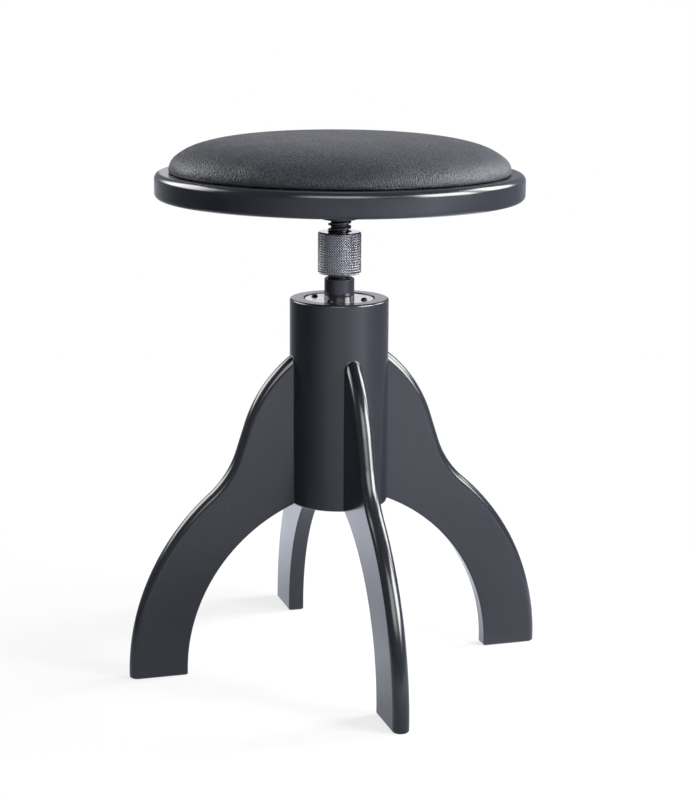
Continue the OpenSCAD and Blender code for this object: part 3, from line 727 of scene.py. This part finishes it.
def pan_heads(name, length, circle, z, spin):
    outline = [(PAN_R * math.sin(math.radians(a)), PAN_SIDE + PAN_RISE * math.cos(math.radians(a)))
               for a in range(0, 91, 15)]
    outline += [(PAN_R, 0.35), (4.35, LIFT), (PAN_SHANK_R, LIFT), (PAN_SHANK_R, 5.4 - length),
                (0, -length)]
    screw = crossed(lathe("pan_head", outline, steps=SHANK_STEPS), PAN_SIDE + PAN_RISE, 5.2, 1.3, 1.9)
    over = Matrix.Rotation(math.pi, 4, "X")
    screws = joined(name, screw, [place @ over for place in on_circle(*circle, z, spin)])
    finished(name + "_zinc", screws, zinc_steel, "seat", "zinc_steel", name)


# %% [markdown]
# ## Plate and tube
# A bright zinc plate closes the column's top, with a shadow gap round it and four countersunk
# holes. The tube that guides the spindle stands up through it. Its rim is chamfered, and
# below the rim sits the nut that carries the seat.

# %% Turn the plate, sink its screw holes, and turn the tube
PLATE_R, TUBE_R, TUBE_BORE_R = 32.9, 14.4, 12.9
plate_mesh = turned_ring("plate_blank", [
    (BORE_R, plate_z0, 0.1), (PLATE_R, plate_z0, 0.2), (PLATE_R, plate_z1, 0.4),
    (BORE_R, plate_z1, 0.15)])
sink_r, hole_r = HEAD_R + 0.1, SHANK_R + FIT
sink = lathe("sink", [(0, -4.0), (hole_r, -4.0), (hole_r, -SHANK_R), (sink_r, LIFT), (sink_r, 1.0),
                      (0, 1.0)], steps=64)
plate_mesh = cut_away(plate_mesh, joined("sinks", sink, on_circle(*PLATE_CIRCLE, plate_z1)))
finished("top_plate_zinc", plate_mesh, zinc_steel, "base", "zinc_steel", "top_plate")

tube_mesh = turned_ring("tube", [
    (TUBE_BORE_R, tube_z0, 0), (TUBE_R, tube_z0, 0.2), (TUBE_R, tube_z1 - 0.8, 0.25),
    (TUBE_R - 0.8, tube_z1, 0.2), (TUBE_BORE_R, tube_z1, 0.2)])
finished("guide_tube_black", tube_mesh, blackened_steel, "base", "blackened_steel", "guide_tube")

# %% [markdown]
# ## Threads
# A thread is its own cross-section, swept round while it climbs one pitch a turn. The sweep
# here is longer than needed and is then sliced flat at both ends, which leaves the same
# runout as a bar that was cut to length. Crests and roots are eased a little: a knife-sharp
# thread would look like paper.

# %% Sweep a thread and slice it to length
PITCH, THREAD_STEPS, THREAD_START, ROOT_W = 5.0, 64, 8.5, 1.2
CORE_R, THREAD_R, PLAIN_R = 8.5, 11.0, 8.0
FLANK_W, CREST_W = (THREAD_R - CORE_R) * math.tan(math.radians(15)), 1.83
SOCKET_R, SOCKET_DEPTH = 4.1, 18.1
thread_z = hub_z0 - THREAD_START
ridge = eased([(CORE_R, -ROOT_W, 0), (CORE_R, 0, 0.35), (THREAD_R, FLANK_W, 0.22),
               (THREAD_R, FLANK_W + CREST_W, 0.22), (CORE_R, 2 * FLANK_W + CREST_W, 0.35),
               (CORE_R, PITCH - ROOT_W, 0)], steps=3)[:-1]


def threaded_bar(name, profile, z0, z1):
    first = math.floor((z0 - thread_z) / PITCH) - 1
    turns = math.ceil((z1 - thread_z) / PITCH) + 1 - first
    n, m = THREAD_STEPS, len(profile)
    points = []
    for i in range((turns + 1) * n + 1):
        a = math.tau * i / n
        climb = thread_z + PITCH * (first + i / n)
        points += [(r * math.cos(a), r * math.sin(a), climb + z) for r, z in profile]
    faces = []
    for i in range(turns * n):
        for j in range(m):
            p = i * m + j
            q = p + 1 if j < m - 1 else (i + n) * m
            faces.append((p, p + m, q + m, q))
    mesh = as_mesh(name, points, faces)
    shape = bmesh.new()
    shape.from_mesh(mesh)
    for z, side in ((z0, -1), (z1, 1)):
        cut = bmesh.ops.bisect_plane(
            shape, geom=shape.verts[:] + shape.edges[:] + shape.faces[:], dist=1e-7,
            plane_co=(0, 0, z * MM), plane_no=(0, 0, side), clear_outer=True)
        rim = [e for e in cut["geom_cut"] if isinstance(e, bmesh.types.BMEdge)]
        bmesh.ops.contextual_create(shape, geom=rim)
    loose = [v for v in shape.verts if not v.link_faces]
    bmesh.ops.delete(shape, geom=loose, context="VERTS")
    bmesh.ops.recalc_face_normals(shape, faces=shape.faces)
    shape.to_mesh(mesh)
    shape.free()
    return mesh


spindle_z0, spindle_z1 = heights("spindle")
thread_mesh = threaded_bar("spindle_thread", ridge, spindle_z0, hub_z0)
thread_mesh = cut_away(thread_mesh, plug("socket", SOCKET_R, spindle_z0 - 1,
                                         spindle_z0 + SOCKET_DEPTH))
plain_end = lathe("plain_end", eased([
    (0, hub_z0 - 0.5, 0), (PLAIN_R, hub_z0 - 0.5, 0), (PLAIN_R, board_z0 - FIT, 0.4),
    (0, board_z0 - FIT, 0)]), steps=96)
whole = bmesh.new()
for part in (thread_mesh, plain_end):
    whole.from_mesh(part)
spindle_mesh = bpy.data.meshes.new("spindle")
whole.to_mesh(spindle_mesh)
whole.free()
finished("spindle_threaded", spindle_mesh, oiled_spindle, "seat", "blackened_steel", "spindle")
print("spindle from", round(spindle_z0, 2), "to", round(spindle_z1, 2))

# %% [markdown]
# ## Lock nut
# The sleeve is knurled: two crossing sets of grooves leave rows of small blunt pyramids. It is
# the one texture on the stool that hands look for, so it is real geometry. Each cell has
# four sloping walls and a small flat top, and the rows are staggered by half a cell.
# Above and below, turned chamfers start at the bottom of the grooves.

# %% Knurl the sleeve
LOCK_R, KNURL_DEPTH, CELLS, KNURL_ROWS, TOP_SHARE = 20.7, 0.38, 56, 31, 0.38
TOP_CHAMFER, FOOT_CHAMFER, LOCK_BORE_R, ROOF_HOLE_R, ROOF = 1.1, 0.7, 14.5, 11.6, 2.5
KNURL_GAP, KNURL_EDGE, EDGE_GAP = 0.25, 0.15, 0.12
knurl_z0, knurl_z1 = lock_z0 + FOOT_CHAMFER + KNURL_GAP, lock_z1 - TOP_CHAMFER - KNURL_GAP
row_h = (knurl_z1 - knurl_z0) / KNURL_ROWS
root_r = LOCK_R - KNURL_DEPTH
cell = math.tau / CELLS
half_w, half_h = cell / 2 * TOP_SHARE, row_h * TOP_SHARE


def round_point(r, a, z):
    return (r * math.cos(a), r * math.sin(a), z)


points, faces, lattice = [], [], {}
for j in range(KNURL_ROWS + 1):
    for i in range(CELLS):
        lattice[i, j] = len(points)
        points.append(round_point(root_r, (i + 0.5 * ((j + 1) % 2)) * cell, knurl_z0 + j * row_h))


def corner(i, j):
    return lattice[i % CELLS, j]


rims = {0: [], KNURL_ROWS: []}
for j in range(KNURL_ROWS + 1):
    odd = j % 2
    for i in range(CELLS):
        middle = (i + 0.5 * odd) * cell
        z = knurl_z0 + j * row_h
        left = corner(i - 1 + odd, j)
        right_corner = corner(i + odd, j)
        base = len(points)
        points += [round_point(LOCK_R, middle - half_w, z), round_point(LOCK_R, middle + half_w, z)]
        tops = []
        for side in (1, -1):
            if 0 <= j + side <= KNURL_ROWS:
                far = corner(i + odd, j + side) if odd else corner(i, j + side)
                tip_point = len(points)
                points.append(round_point(LOCK_R, middle, z + side * half_h))
                tops.append(tip_point)
                faces += [(left, base, tip_point, far), (right_corner, far, tip_point, base + 1)]
        faces.append((base, base + 1, *tops) if len(tops) == 1 else (base, tops[1], base + 1, tops[0]))
        if j in rims:
            rims[j] += [left, base, base + 1]

# %% Close the sleeve with its chamfers, faces and bore
def turn_of(p):
    return math.atan2(points[p][1], points[p][0])


def ring_of(r, z, like):
    start = len(points)
    points.extend([round_point(r, turn_of(p), z) for p in like])
    return list(range(start, start + len(like)))


edge_r = root_r - KNURL_EDGE
edges = eased([(edge_r, knurl_z1 + EDGE_GAP, 0), (edge_r, lock_z1 - TOP_CHAMFER, 0.3),
               (LOCK_R - TOP_CHAMFER - 0.1, lock_z1, 0.3), (ROOF_HOLE_R, lock_z1, 0.2),
               (ROOF_HOLE_R, lock_z1 - ROOF, 0), (LOCK_BORE_R, lock_z1 - ROOF, 0),
               (LOCK_BORE_R, lock_z0, 0.2), (LOCK_R - FOOT_CHAMFER - 0.1, lock_z0, 0.3),
               (edge_r, lock_z0 + FOOT_CHAMFER, 0.3), (edge_r, knurl_z0 - EDGE_GAP, 0)], steps=3)
bands = [rims[KNURL_ROWS]] + [ring_of(r, z, rims[KNURL_ROWS]) for r, z in edges] + [rims[0]]
for lower, upper in zip(bands, bands[1:]):
    if upper is rims[0]:
        first = turn_of(lower[0]) % math.tau
        shift_by = min(range(len(upper)), key=lambda s: abs(
            math.remainder(turn_of(upper[s]) % math.tau - first, math.tau)))
        upper = upper[shift_by:] + upper[:shift_by]
    for i in range(len(lower)):
        k = (i + 1) % len(lower)
        faces.append((lower[i], lower[k], upper[k], upper[i]))
finished("lock_nut_knurled", as_mesh("sleeve", points, faces), gunmetal, "lock_nut",
         "gunmetal_steel", "lock_nut")

# %% [markdown]
# ## Hub and plate under the seat
# The spindle's plain end is fixed in a short hub by a set screw, and the hub is welded to a
# round plate. The plate is screwed to the seat board from below, so its four pan heads show
# to anyone who looks under the seat.

# %% Hub, plate and the screws below the seat
HUB_R, HUB_BORE_R, SEAT_PLATE_R, PILOT_R = 17.0, 8.05, 55.0, 2.3
SET_SCREW_R, SET_SCREW_L, HEX_R = 3.0, 8.9, 1.73
hub_mesh = turned_ring("hub_blank", [
    (HUB_BORE_R, hub_z0, 0.3), (HUB_R, hub_z0, 0.9), (HUB_R, hub_z1, 0), (HUB_BORE_R, hub_z1, 0)])
side_hole = plug("side_hole", SET_SCREW_R + FIT, 0, 20)
side_place = Matrix.Translation((0, 0, (hub_z0 + hub_z1) / 2 * MM)) @ sideways
hub_mesh = cut_away(hub_mesh, joined("side_cut", side_hole, [side_place]))
finished("seat_hub_black", hub_mesh, blackened_steel, "seat", "blackened_steel", "seat_hub")

set_screw = lathe("set_screw", eased([
    (0, -SET_SCREW_L, 0), (2.6, -SET_SCREW_L, 0), (SET_SCREW_R, -8.5, 0), (SET_SCREW_R, -0.5, 0),
    (2.6, 0, 0), (0, 0, 0)]), steps=48)
set_screw = cut_away(set_screw, plug("hexagon", HEX_R, -2.5, 1.0, steps=6))
set_place = side_place @ Matrix.Translation((0, 0, (HUB_R - FIT) * MM))
finished("hub_set_screw_black", joined("set_screw", set_screw, [set_place]), blackened_steel, "seat",
         "blackened_steel", "hub_set_screw")

seat_plate_mesh = turned_ring("seat_plate_blank", [
    (HUB_BORE_R, hub_z1, 0), (SEAT_PLATE_R, hub_z1, 0.8), (SEAT_PLATE_R, board_z0, 0.3),
    (HUB_BORE_R, board_z0, 0)])
through = plug("through", PILOT_R, -2, 8, steps=32)
seat_plate_mesh = cut_away(seat_plate_mesh, joined("holes", through, on_circle(*SEAT_CIRCLE, hub_z1)))
finished("seat_plate_black", seat_plate_mesh, blackened_steel, "seat", "blackened_steel", "seat_plate")

pan_heads("seat_plate_screws", 20, SEAT_CIRCLE, hub_z1, (12, 50, 81, 33))

# %% [markdown]
# ## Seat board
# The board is a thick lacquered disc. Its top edge is rounded more than its foot, and these
# two rounds carry the long bright lines of the photograph. Four sunk holes below take the
# screws that hold the cushion.

# %% Turn the seat board and sink its holes
SEAT_R, SINK_DEPTH, SCREW_SINK_R, COVER_T, SCREW_BITE = 175.0, 7, 6, 1.2, 4.5
board_mesh = lathe("board_blank", eased([
    (0, board_z0, 0), (SEAT_R, board_z0, 5), (SEAT_R, board_z1, 6), (0, board_z1, 0)],
    steps=8), steps=256)
stepped = lathe("stepped", [(0, -5), (SCREW_SINK_R, -5), (SCREW_SINK_R, SINK_DEPTH),
                            (PILOT_R, SINK_DEPTH), (PILOT_R, 30), (0, 30)], steps=48)
pilot = plug("pilot", PILOT_R, -5, 20.05, steps=32)
board_mesh = cut_away(board_mesh, joined("sinks", stepped, on_circle(*CUSHION_CIRCLE, board_z0)))
board_mesh = cut_away(board_mesh, joined("pilots", pilot, on_circle(*SEAT_CIRCLE, board_z0)))
finished("seat_board_turned", board_mesh, black_lacquer, "seat", "black_lacquer", "seat_board")

pan_heads("cushion_screws", cover_z0 + COVER_T + SCREW_BITE - board_z0 - SINK_DEPTH,
          CUSHION_CIRCLE, board_z0 + SINK_DEPTH, (0, 37, 66, 15))

# %% [markdown]
# ## Cushion
# A disc of foam on a plywood board, with imitation leather pulled over it and stapled below.
# The cover is the surface that the light plays on most, so it isn't simply swept: a smaller
# pad is blown up by a cloth simulation that is held at the staples, and the unevenness that
# comes out of it, fuller between the staples and drawn in at them, goes into the cover.

# %% The crown's outline
CUSHION_R, CROWN_H, BELLY, TUCK = 161.3, 31.9, 2.8, 0.4
CROWN_STEPS, SIDE_STEPS = 44, 6
belly_z = board_z1 + BELLY


def crown(inset):
    outline = []
    for i in range(CROWN_STEPS + 1):
        a = math.radians(90 - 90 * i / CROWN_STEPS)
        outline.append(((CUSHION_R - inset) * max(0.0, math.cos(a)) ** (2 / 3.5) if i else 0.0,
                        belly_z + (CROWN_H - inset) * max(0.0, math.sin(a)) ** (2 / 2.02)))
    for i in range(1, SIDE_STEPS + 1):
        a = math.radians(90 * i / SIDE_STEPS)
        outline.append((CUSHION_R - inset - TUCK * (1 - math.cos(a)),
                        belly_z - (belly_z - cover_z0) * math.sin(a)))
    return outline


# %% Blow up a smaller pad, held at its staples
PAD_INSET, VOXEL, PRESSURE, CAP, CLOTH_FRAMES = 3.0, 0.005, 4.0, 0.008, 20
STAPLES, STAPLE_SHARE, HELD_H, HELD_W = 32, 0.14, 3, 14
pad = in_scene("pad", lathe("pad", crown(PAD_INSET) + [(0, cover_z0)], steps=96))
remesh = pad.modifiers.new("even_faces", "REMESH")
remesh.mode, remesh.voxel_size = "VOXEL", VOXEL
pad_mesh = evaluated(pad)
pad.modifiers.clear()
pad.data = pad_mesh
rest = np.array([v.co for v in pad_mesh.vertices])
swollen = rest.copy()
held = pad.vertex_groups.new(name="held")
turns = np.arctan2(rest[:, 1], rest[:, 0]) * STAPLES / math.tau
far = np.hypot(rest[:, 0], rest[:, 1])
near_staple = np.abs(turns - np.round(turns)) < STAPLE_SHARE
at_foot = rest[:, 2] < (cover_z0 + HELD_H) * MM
low_ring = at_foot & (far > (CUSHION_R - HELD_W) * MM)
flat = at_foot & (far < (CUSHION_R - HELD_W) * MM)
for i in np.nonzero((low_ring & near_staple) | flat)[0]:
    held.add([int(i)], 1.0, "REPLACE")
cloth = pad.modifiers.new("inflate", "CLOTH")
cloth.settings.use_pressure = True
cloth.settings.uniform_pressure_force = PRESSURE
cloth.settings.effector_weights.gravity = 0
cloth.settings.vertex_group_mass = "held"
cloth.collision_settings.use_collision = False
for number in range(1, CLOTH_FRAMES + 1):
    bpy.context.scene.frame_set(number)
result = evaluated(pad)
swollen = np.array([v.co for v in result.vertices])
moved = swollen - rest
length = np.linalg.norm(moved, axis=1, keepdims=True)
swollen = rest + moved * np.minimum(1, CAP / np.maximum(length, 1e-9))
print("pad moved by up to", round(float(length.max()) / MM, 2), "mm")
pad.modifiers.clear()
bpy.context.scene.frame_set(1)
faces = [tuple(f.vertices) for f in pad_mesh.polygons]
blown = BVHTree.FromPolygons([Vector(p) for p in swollen], faces)
bpy.data.objects.remove(pad)

# %% Measure how uneven it came out
COVER_STEPS, UNEVEN, FROM_INSIDE = 256, 0.6, 12
shape = [Vector(p) for p in crown(0)]
crown_z = shape[0].y
moved = np.zeros((len(shape), COVER_STEPS))
ways = []
for i, at in enumerate(shape):
    before, after = shape[max(0, i - 1)], shape[min(len(shape) - 1, i + 1)]
    along = (after - before).normalized()
    way = Vector((-along.y, along.x))
    if way.dot(at - Vector((0, belly_z))) < 0:
        way.negate()
    ways.append(way)
    start = at - way * FROM_INSIDE
    for s in range(COVER_STEPS):
        a = math.tau * s / COVER_STEPS
        hit = blown.ray_cast(Vector((start.x * math.cos(a), start.x * math.sin(a), start.y)) * MM,
                             Vector((way.x * math.cos(a), way.x * math.sin(a), way.y)))
        moved[i, s] = (hit[3] / MM - FROM_INSIDE) if hit[0] is not None else np.nan
middle = np.nanmedian(moved, axis=1, keepdims=True)
uneven = np.clip(np.nan_to_num(moved - middle), -1.0, 1.0)
for _ in range(4):
    uneven = (uneven + np.roll(uneven, 1, 1) + np.roll(uneven, -1, 1)) / 3
    uneven[1:-1] = (uneven[:-2] + uneven[1:-1] + uneven[2:]) / 3
side = np.clip([(at.x / CUSHION_R - 0.8) / 0.17 for at in shape], 0, 1)[:, None]
uneven = uneven * UNEVEN * side
print("unevenness of the cover: up to", round(float(np.abs(uneven).max()), 2), "mm")

# %% Draw the cover over it as a folded skin, with its lip turned under
LIP_R, CUSHION_BOARD_R = 129.3, 153.3


def cover_rings(drawn_in, foot=None):
    rings = []
    for at, way, row in list(zip(shape, ways, uneven))[1:]:
        fade = min(1.0, max(0.0, (at.y - cover_z0) / 1.5))
        ring = [at + way * (float(row[s]) * fade - drawn_in) for s in range(COVER_STEPS)]
        rings.append(ring if foot is None else [Vector((p.x, max(p.y, foot))) for p in ring])
    return rings


def flat_ring(r, z):
    return [Vector((r, z))] * COVER_STEPS


def skin_from(name, rings, first_z, last_z):
    spokes = [(math.cos(math.tau * s / COVER_STEPS), math.sin(math.tau * s / COVER_STEPS))
              for s in range(COVER_STEPS)]
    points = [(at.x * x, at.x * y, at.y) for ring in rings for at, (x, y) in zip(ring, spokes)]
    faces = between_rows(len(rings), COVER_STEPS)
    for end, z in ((0, first_z), (len(rings) - 1, last_z)):
        pole = len(points)
        points.append((0, 0, z))
        faces += [(pole, end * COVER_STEPS + s, end * COVER_STEPS + (s + 1) % COVER_STEPS)
                  for s in range(COVER_STEPS)]
    return as_mesh(name, points, faces)


lip_rs = [CUSHION_R - TUCK - 6, CUSHION_BOARD_R, (CUSHION_BOARD_R + LIP_R) / 2, LIP_R]
lip = [flat_ring(r, cover_z0) for r in lip_rs]
lip += [flat_ring(r, cover_z0 + COVER_T) for r in lip_rs[:0:-1]]
inner = cover_rings(COVER_T, cover_z0 + COVER_T)
cover_mesh = skin_from("cover", cover_rings(0) + lip + inner[::-1], crown_z, crown_z - COVER_T)
cover = finished("cushion_cover_leather", cover_mesh, imitation_leather, "seat",
                 "imitation_leather", "cushion_cover")

# %% The foam below it, cut out for its board
FOAM_GAP, BOARD_SPACE = 0.1, 9.0
foam_inset, foam_z0 = COVER_T + FOAM_GAP, cover_z0 + COVER_T + FOAM_GAP
foam_rings = cover_rings(foam_inset, foam_z0)
foam_rings += [flat_ring(CUSHION_BOARD_R + FOAM_GAP, z) for z in (foam_z0, foam_z0 + BOARD_SPACE)]
foam_mesh = skin_from("foam", foam_rings, crown_z - foam_inset, foam_z0 + BOARD_SPACE)
foam = finished("foam_pad_cut", foam_mesh, open_foam, "seat", "foam", "foam_pad")

# %% [markdown]
# ## Pieces that keep their CAD shape
# Small pieces inside the column, the lock nut and the cushion are right as they are. They only
# get a finish.

# %% Dress the pieces that stay
STAYING = {"leg_dowels": bare_timber, "spindle_nut": oiled_spindle, "stop_washer": zinc_steel,
           "stop_screw": blackened_steel, "lock_nut_core": zinc_steel, "lock_ring": black_plastic,
           "cushion_board": bare_timber, "cover_staples": zinc_steel}
for name, finish in STAYING.items():
    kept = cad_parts[name]
    for holder in kept.material_slots:
        holder.material = finish
    print(name, "keeps its shape and wears", finish.name)

# %% [markdown]
# ## Studio
# The stool stands on a small pale floor in a white room. The floor fades into the white and
# keeps the soft shadow. What a glossy black thing shows is its surroundings, so these are
# built as a photographer builds them, and only mirror reflections see them: the floor as a
# dimmer paper with painted light, brighter to the right and behind the stool, and with painted
# shadow round the front and back foot, a far floor and a far dark wall, and a near dark wall
# in which five soft boxes glow. The white behind the stool stays open, and plain lamps do the
# rest of the lighting.

# %% White room
scene = bpy.context.scene
scene.view_settings.view_transform = "Standard"
COOL, FILL, MIRRORED_WHITE = (0.90, 0.94, 1.07, 1), 0.42, 0.92


def seen_rays(tree):
    rays = node(tree, "ShaderNodeLightPath").outputs
    mirrored = maths(tree, "MAXIMUM", rays["Is Glossy Ray"], rays["Is Transmission Ray"])
    return rays["Is Camera Ray"], mirrored


def light(tree, kind, colour, strength):
    return node(tree, "ShaderNode" + kind, Color=colour, Strength=strength).outputs[0]


def either(tree, mask, first, second):
    return node(tree, "ShaderNodeMixShader", _0=mask, _1=first, _2=second).outputs[0]


room = bpy.data.worlds.new("white_room")
scene.world = room
room.use_nodes = True
tree = room.node_tree
tree.nodes.clear()
straight, mirrored = seen_rays(tree)
fill = light(tree, "Background", (0.93, 0.95, 1.0, 1), FILL)
open_back = light(tree, "Background", (1, 0.98, 1.04, 1), MIRRORED_WHITE)
white = light(tree, "Background", (1, 1, 1, 1), 1.0)
both = either(tree, straight, either(tree, mirrored, fill, open_back), white)
node(tree, "ShaderNodeOutputWorld", Surface=both)

# %% Pale floor that fades into the room
FLOOR_R, FOOT_PLACE = 620, (0, 0.181, 0)
camera_turn = math.atan2(forward.x, forward.y)
floor = in_scene("floor", lathe("floor", [(0, -0.1), (FLOOR_R * 0.5, -0.1), (FLOOR_R, -0.1),
                                          (FLOOR_R, -2), (0, -2)], steps=96))
pale, tree, _ = new_finish("pale_floor")
straight, mirrored = seen_rays(tree)
place = object_place(tree)
fade = spread(tree, vectors(tree, "LENGTH", place), 0.75, 1.0, 0.22, FLOOR_R * MM * 0.97)
sideway = (math.cos(camera_turn), -math.sin(camera_turn), 0)
nearer = (-math.sin(camera_turn), -math.cos(camera_turn), 0)
across, toward = [vectors(tree, "DOT_PRODUCT", place, way) for way in (sideway, nearer)]
# painted light on the floor as mirrors see it, brighter to the right and behind the stool, with painted
# shadow round the front and back foot below
in_front = spread(tree, across, 0.55, 1.4, -0.4, 0.35)
widening = maths(tree, "MULTIPLY", maths(tree, "SUBTRACT", toward, 0.1), 0.75)
fan = maths(tree, "ADD", maths(tree, "ABSOLUTE", across), widening)
behind = maths(tree, "MULTIPLY", spread(tree, fan, 1.0, 0.0, 0.0, 0.12),
               spread(tree, toward, 1.4, 0.35, -0.5, 0.12))
to_foot = vectors(tree, "DISTANCE", vectors(tree, "ABSOLUTE", place), FOOT_PLACE)
foot_shade = spread(tree, to_foot, 0.62, 1.0, 0.05, 0.28)
paper = maths(tree, "MULTIPLY", maths(tree, "ADD", in_front, behind), foot_shade)
matt = node(tree, "ShaderNodeBsdfDiffuse", Color=(0.92, 0.92, 0.92, 1)).outputs[0]
both = either(tree, mirrored, matt, light(tree, "Emission", COOL, paper))
both = either(tree, maths(tree, "MULTIPLY", straight, fade), both,
              light(tree, "Emission", (1, 1, 1, 1), 1.0))
tree.links.new(both, tree.nodes["Material Output"].inputs["Surface"])
floor.data.materials.append(pale)

# %% The dark walls and the far floor round the front
WALL_R, FAR_R, WALL_FROM, WALL_TO, FAR_TO, WALL_STEPS = 1600, 7000, -166, 164, 175, 66
profiles = [[(FLOOR_R - 20, -3), (FAR_R, -3), (FAR_R, 4000)],
            [(WALL_R, 400), (WALL_R, 2100), (1100, 2900), (450, 3250), (2, 3300)]]
points, wall_faces = [], []
for profile, wall_to in zip(profiles, (FAR_TO, WALL_TO)):
    start, posts = len(points), WALL_STEPS + 1
    for r, z in profile:
        for i in range(posts):
            a = math.radians(WALL_FROM + (wall_to - WALL_FROM) * i / WALL_STEPS)
            points.append((r * math.sin(a), -r * math.cos(a), z))
    wall_faces += between_rows(len(profile), posts, start, around=False)
wall = in_scene("dark_wall", as_mesh("dark_wall", points, wall_faces))
wall.rotation_euler = (0, 0, -camera_turn)

# %% [markdown]
# A soft box is bright inside two limits and fades at both, across and up. That is one node
# group, used once for each box. The far floor is brightest to the right of the camera, which
# gives the soft band of light on column and board.

# %% One soft box as a node group
tree, given, out = group("soft_box", {
    "Turn": 0, "From": -10, "To": 10, "Blur": 5, "Height": 0, "Foot": 0.8, "Head": 2.4}, ["Light"])


def between(value, low, high, blur):
    rise, fall = [spread(tree, value, first, last, maths(tree, "SUBTRACT", edge, blur),
                         maths(tree, "ADD", edge, blur))
                  for edge, first, last in ((low, 0.0, 1.0), (high, 1.0, 0.0))]
    return maths(tree, "MULTIPLY", rise, fall)


wide = between(given["Turn"], given["From"], given["To"], given["Blur"])
tall = between(given["Height"], given["Foot"], given["Head"], 0.10)
tree.links.new(maths(tree, "MULTIPLY", wide, tall), out["Light"])
soft_box = tree

# %% Light the wall
LOW_LIGHT = [(-165, 0.6), (-150, 0.45), (-130, 0.3), (-110, 0.15), (-75, 0.12), (-58, 0.3),
             (-40, 0.6), (-20, 1.05), (0, 1.25), (20, 1.4), (40, 1.95), (58, 2.1), (74, 1.2),
             (90, 0.75), (112, 0.42), (138, 0.3), (175, 0.5)]
SOFT_BOXES = [(-133, -88, 9, 0.72, 1.85, 10), (-21, 18, 7, 0.74, 1.88, 5.2),
              (-10, 55, 12, 0.7, 1.6, 1.6), (49, 86, 5, 0.53, 1.56, 22),
              (97, 128, 6, 0.80, 1.90, 15)]
BRIGHTEST, DIM = 2.6, 0.33
card, tree, _ = new_finish("lit_wall")
whole = object_place(tree)
place = parts(tree, whole)
turn = maths(tree, "ARCTAN2", place["X"], maths(tree, "MULTIPLY", place["Y"], -1.0))
ramp = node(tree, "ShaderNodeValToRGB", _0=spread(tree, turn, 0.0, 1.0, -math.pi, math.pi))
stops = ramp.color_ramp.elements
stops[0].position, stops[1].position = [(LOW_LIGHT[k][0] + 180) / 360 for k in (0, -1)]
for angle, _ in LOW_LIGHT[1:-1]:
    stops.new((angle + 180) / 360)
for stop, (_, bright) in zip(stops, LOW_LIGHT):
    stop.color = (bright / BRIGHTEST,) * 3 + (1,)
far = from_axis(tree, whole)
lit_floor = maths(tree, "MULTIPLY", maths(tree, "MULTIPLY", ramp.outputs[0], BRIGHTEST),
                  spread(tree, far, 0.85, 1.0, 0.6, 1.2))
dusk = spread(tree, place["Z"], lit_floor, DIM, 0.0, 0.01)
near = spread(tree, far, 1.0, 0.0, WALL_R * MM + 0.1, WALL_R * MM + 0.2)
degrees = maths(tree, "MULTIPLY", turn, 180 / math.pi)
shining = 0.0
for start, end, blur, foot, head, power in SOFT_BOXES:
    box = use(tree, soft_box, Turn=degrees, From=start, To=end, Blur=blur, Height=place["Z"],
              Foot=foot, Head=head)
    shining = maths(tree, "ADD", shining, maths(tree, "MULTIPLY", box["Light"], power))
glow = node(tree, "ShaderNodeAddShader", _0=light(tree, "Emission", COOL, dusk),
            _1=light(tree, "Emission", (1, 1, 0.98, 1), maths(tree, "MULTIPLY", shining, near)))
tree.links.new(glow.outputs[0], tree.nodes["Material Output"].inputs["Surface"])
wall.data.materials.append(card)
wall.visible_camera = wall.visible_diffuse = wall.visible_shadow = wall.visible_transmission = False

# %% [markdown]
# The lamps light colour and cast the soft shadow. Each stands where a soft box glows, and stays
# out of the reflections, because the wall already shows it there.

# %% Soft lamps, placed as seen from the camera
AIM_Z = 0.35


def from_camera(turn, distance, z):
    a = math.radians(turn) - camera_turn
    return Vector((distance * math.sin(a), -distance * math.cos(a), z))


def soft_lamp(name, turn, distance, z, width, height, power):
    lamp = bpy.data.lights.new(name, "AREA")
    lamp.shape, lamp.size, lamp.size_y, lamp.energy = "RECTANGLE", width, height, power
    held_at = bpy.data.objects.new(name, lamp)
    scene.collection.objects.link(held_at)
    held_at.location = from_camera(turn, distance, z)
    aim = Vector((0, 0, AIM_Z)) - held_at.location
    held_at.rotation_euler = aim.to_track_quat("-Z", "Y").to_euler()
    held_at.visible_camera = held_at.visible_glossy = False
    print(name, "brightness", round(power / 4 / width / height, 1))


soft_lamp("right_front", 66, 1.6, 0.9, 0.7, 1.0, 38)
soft_lamp("right_side", 112, 1.6, 0.85, 0.7, 1.0, 44)
soft_lamp("front", 0, 1.8, 1.1, 0.8, 0.8, 7)
soft_lamp("left_side", -110, 1.6, 1.25, 0.8, 0.9, 1)
soft_lamp("above", 180, 0.7, 1.9, 1.0, 1.0, 1.5)
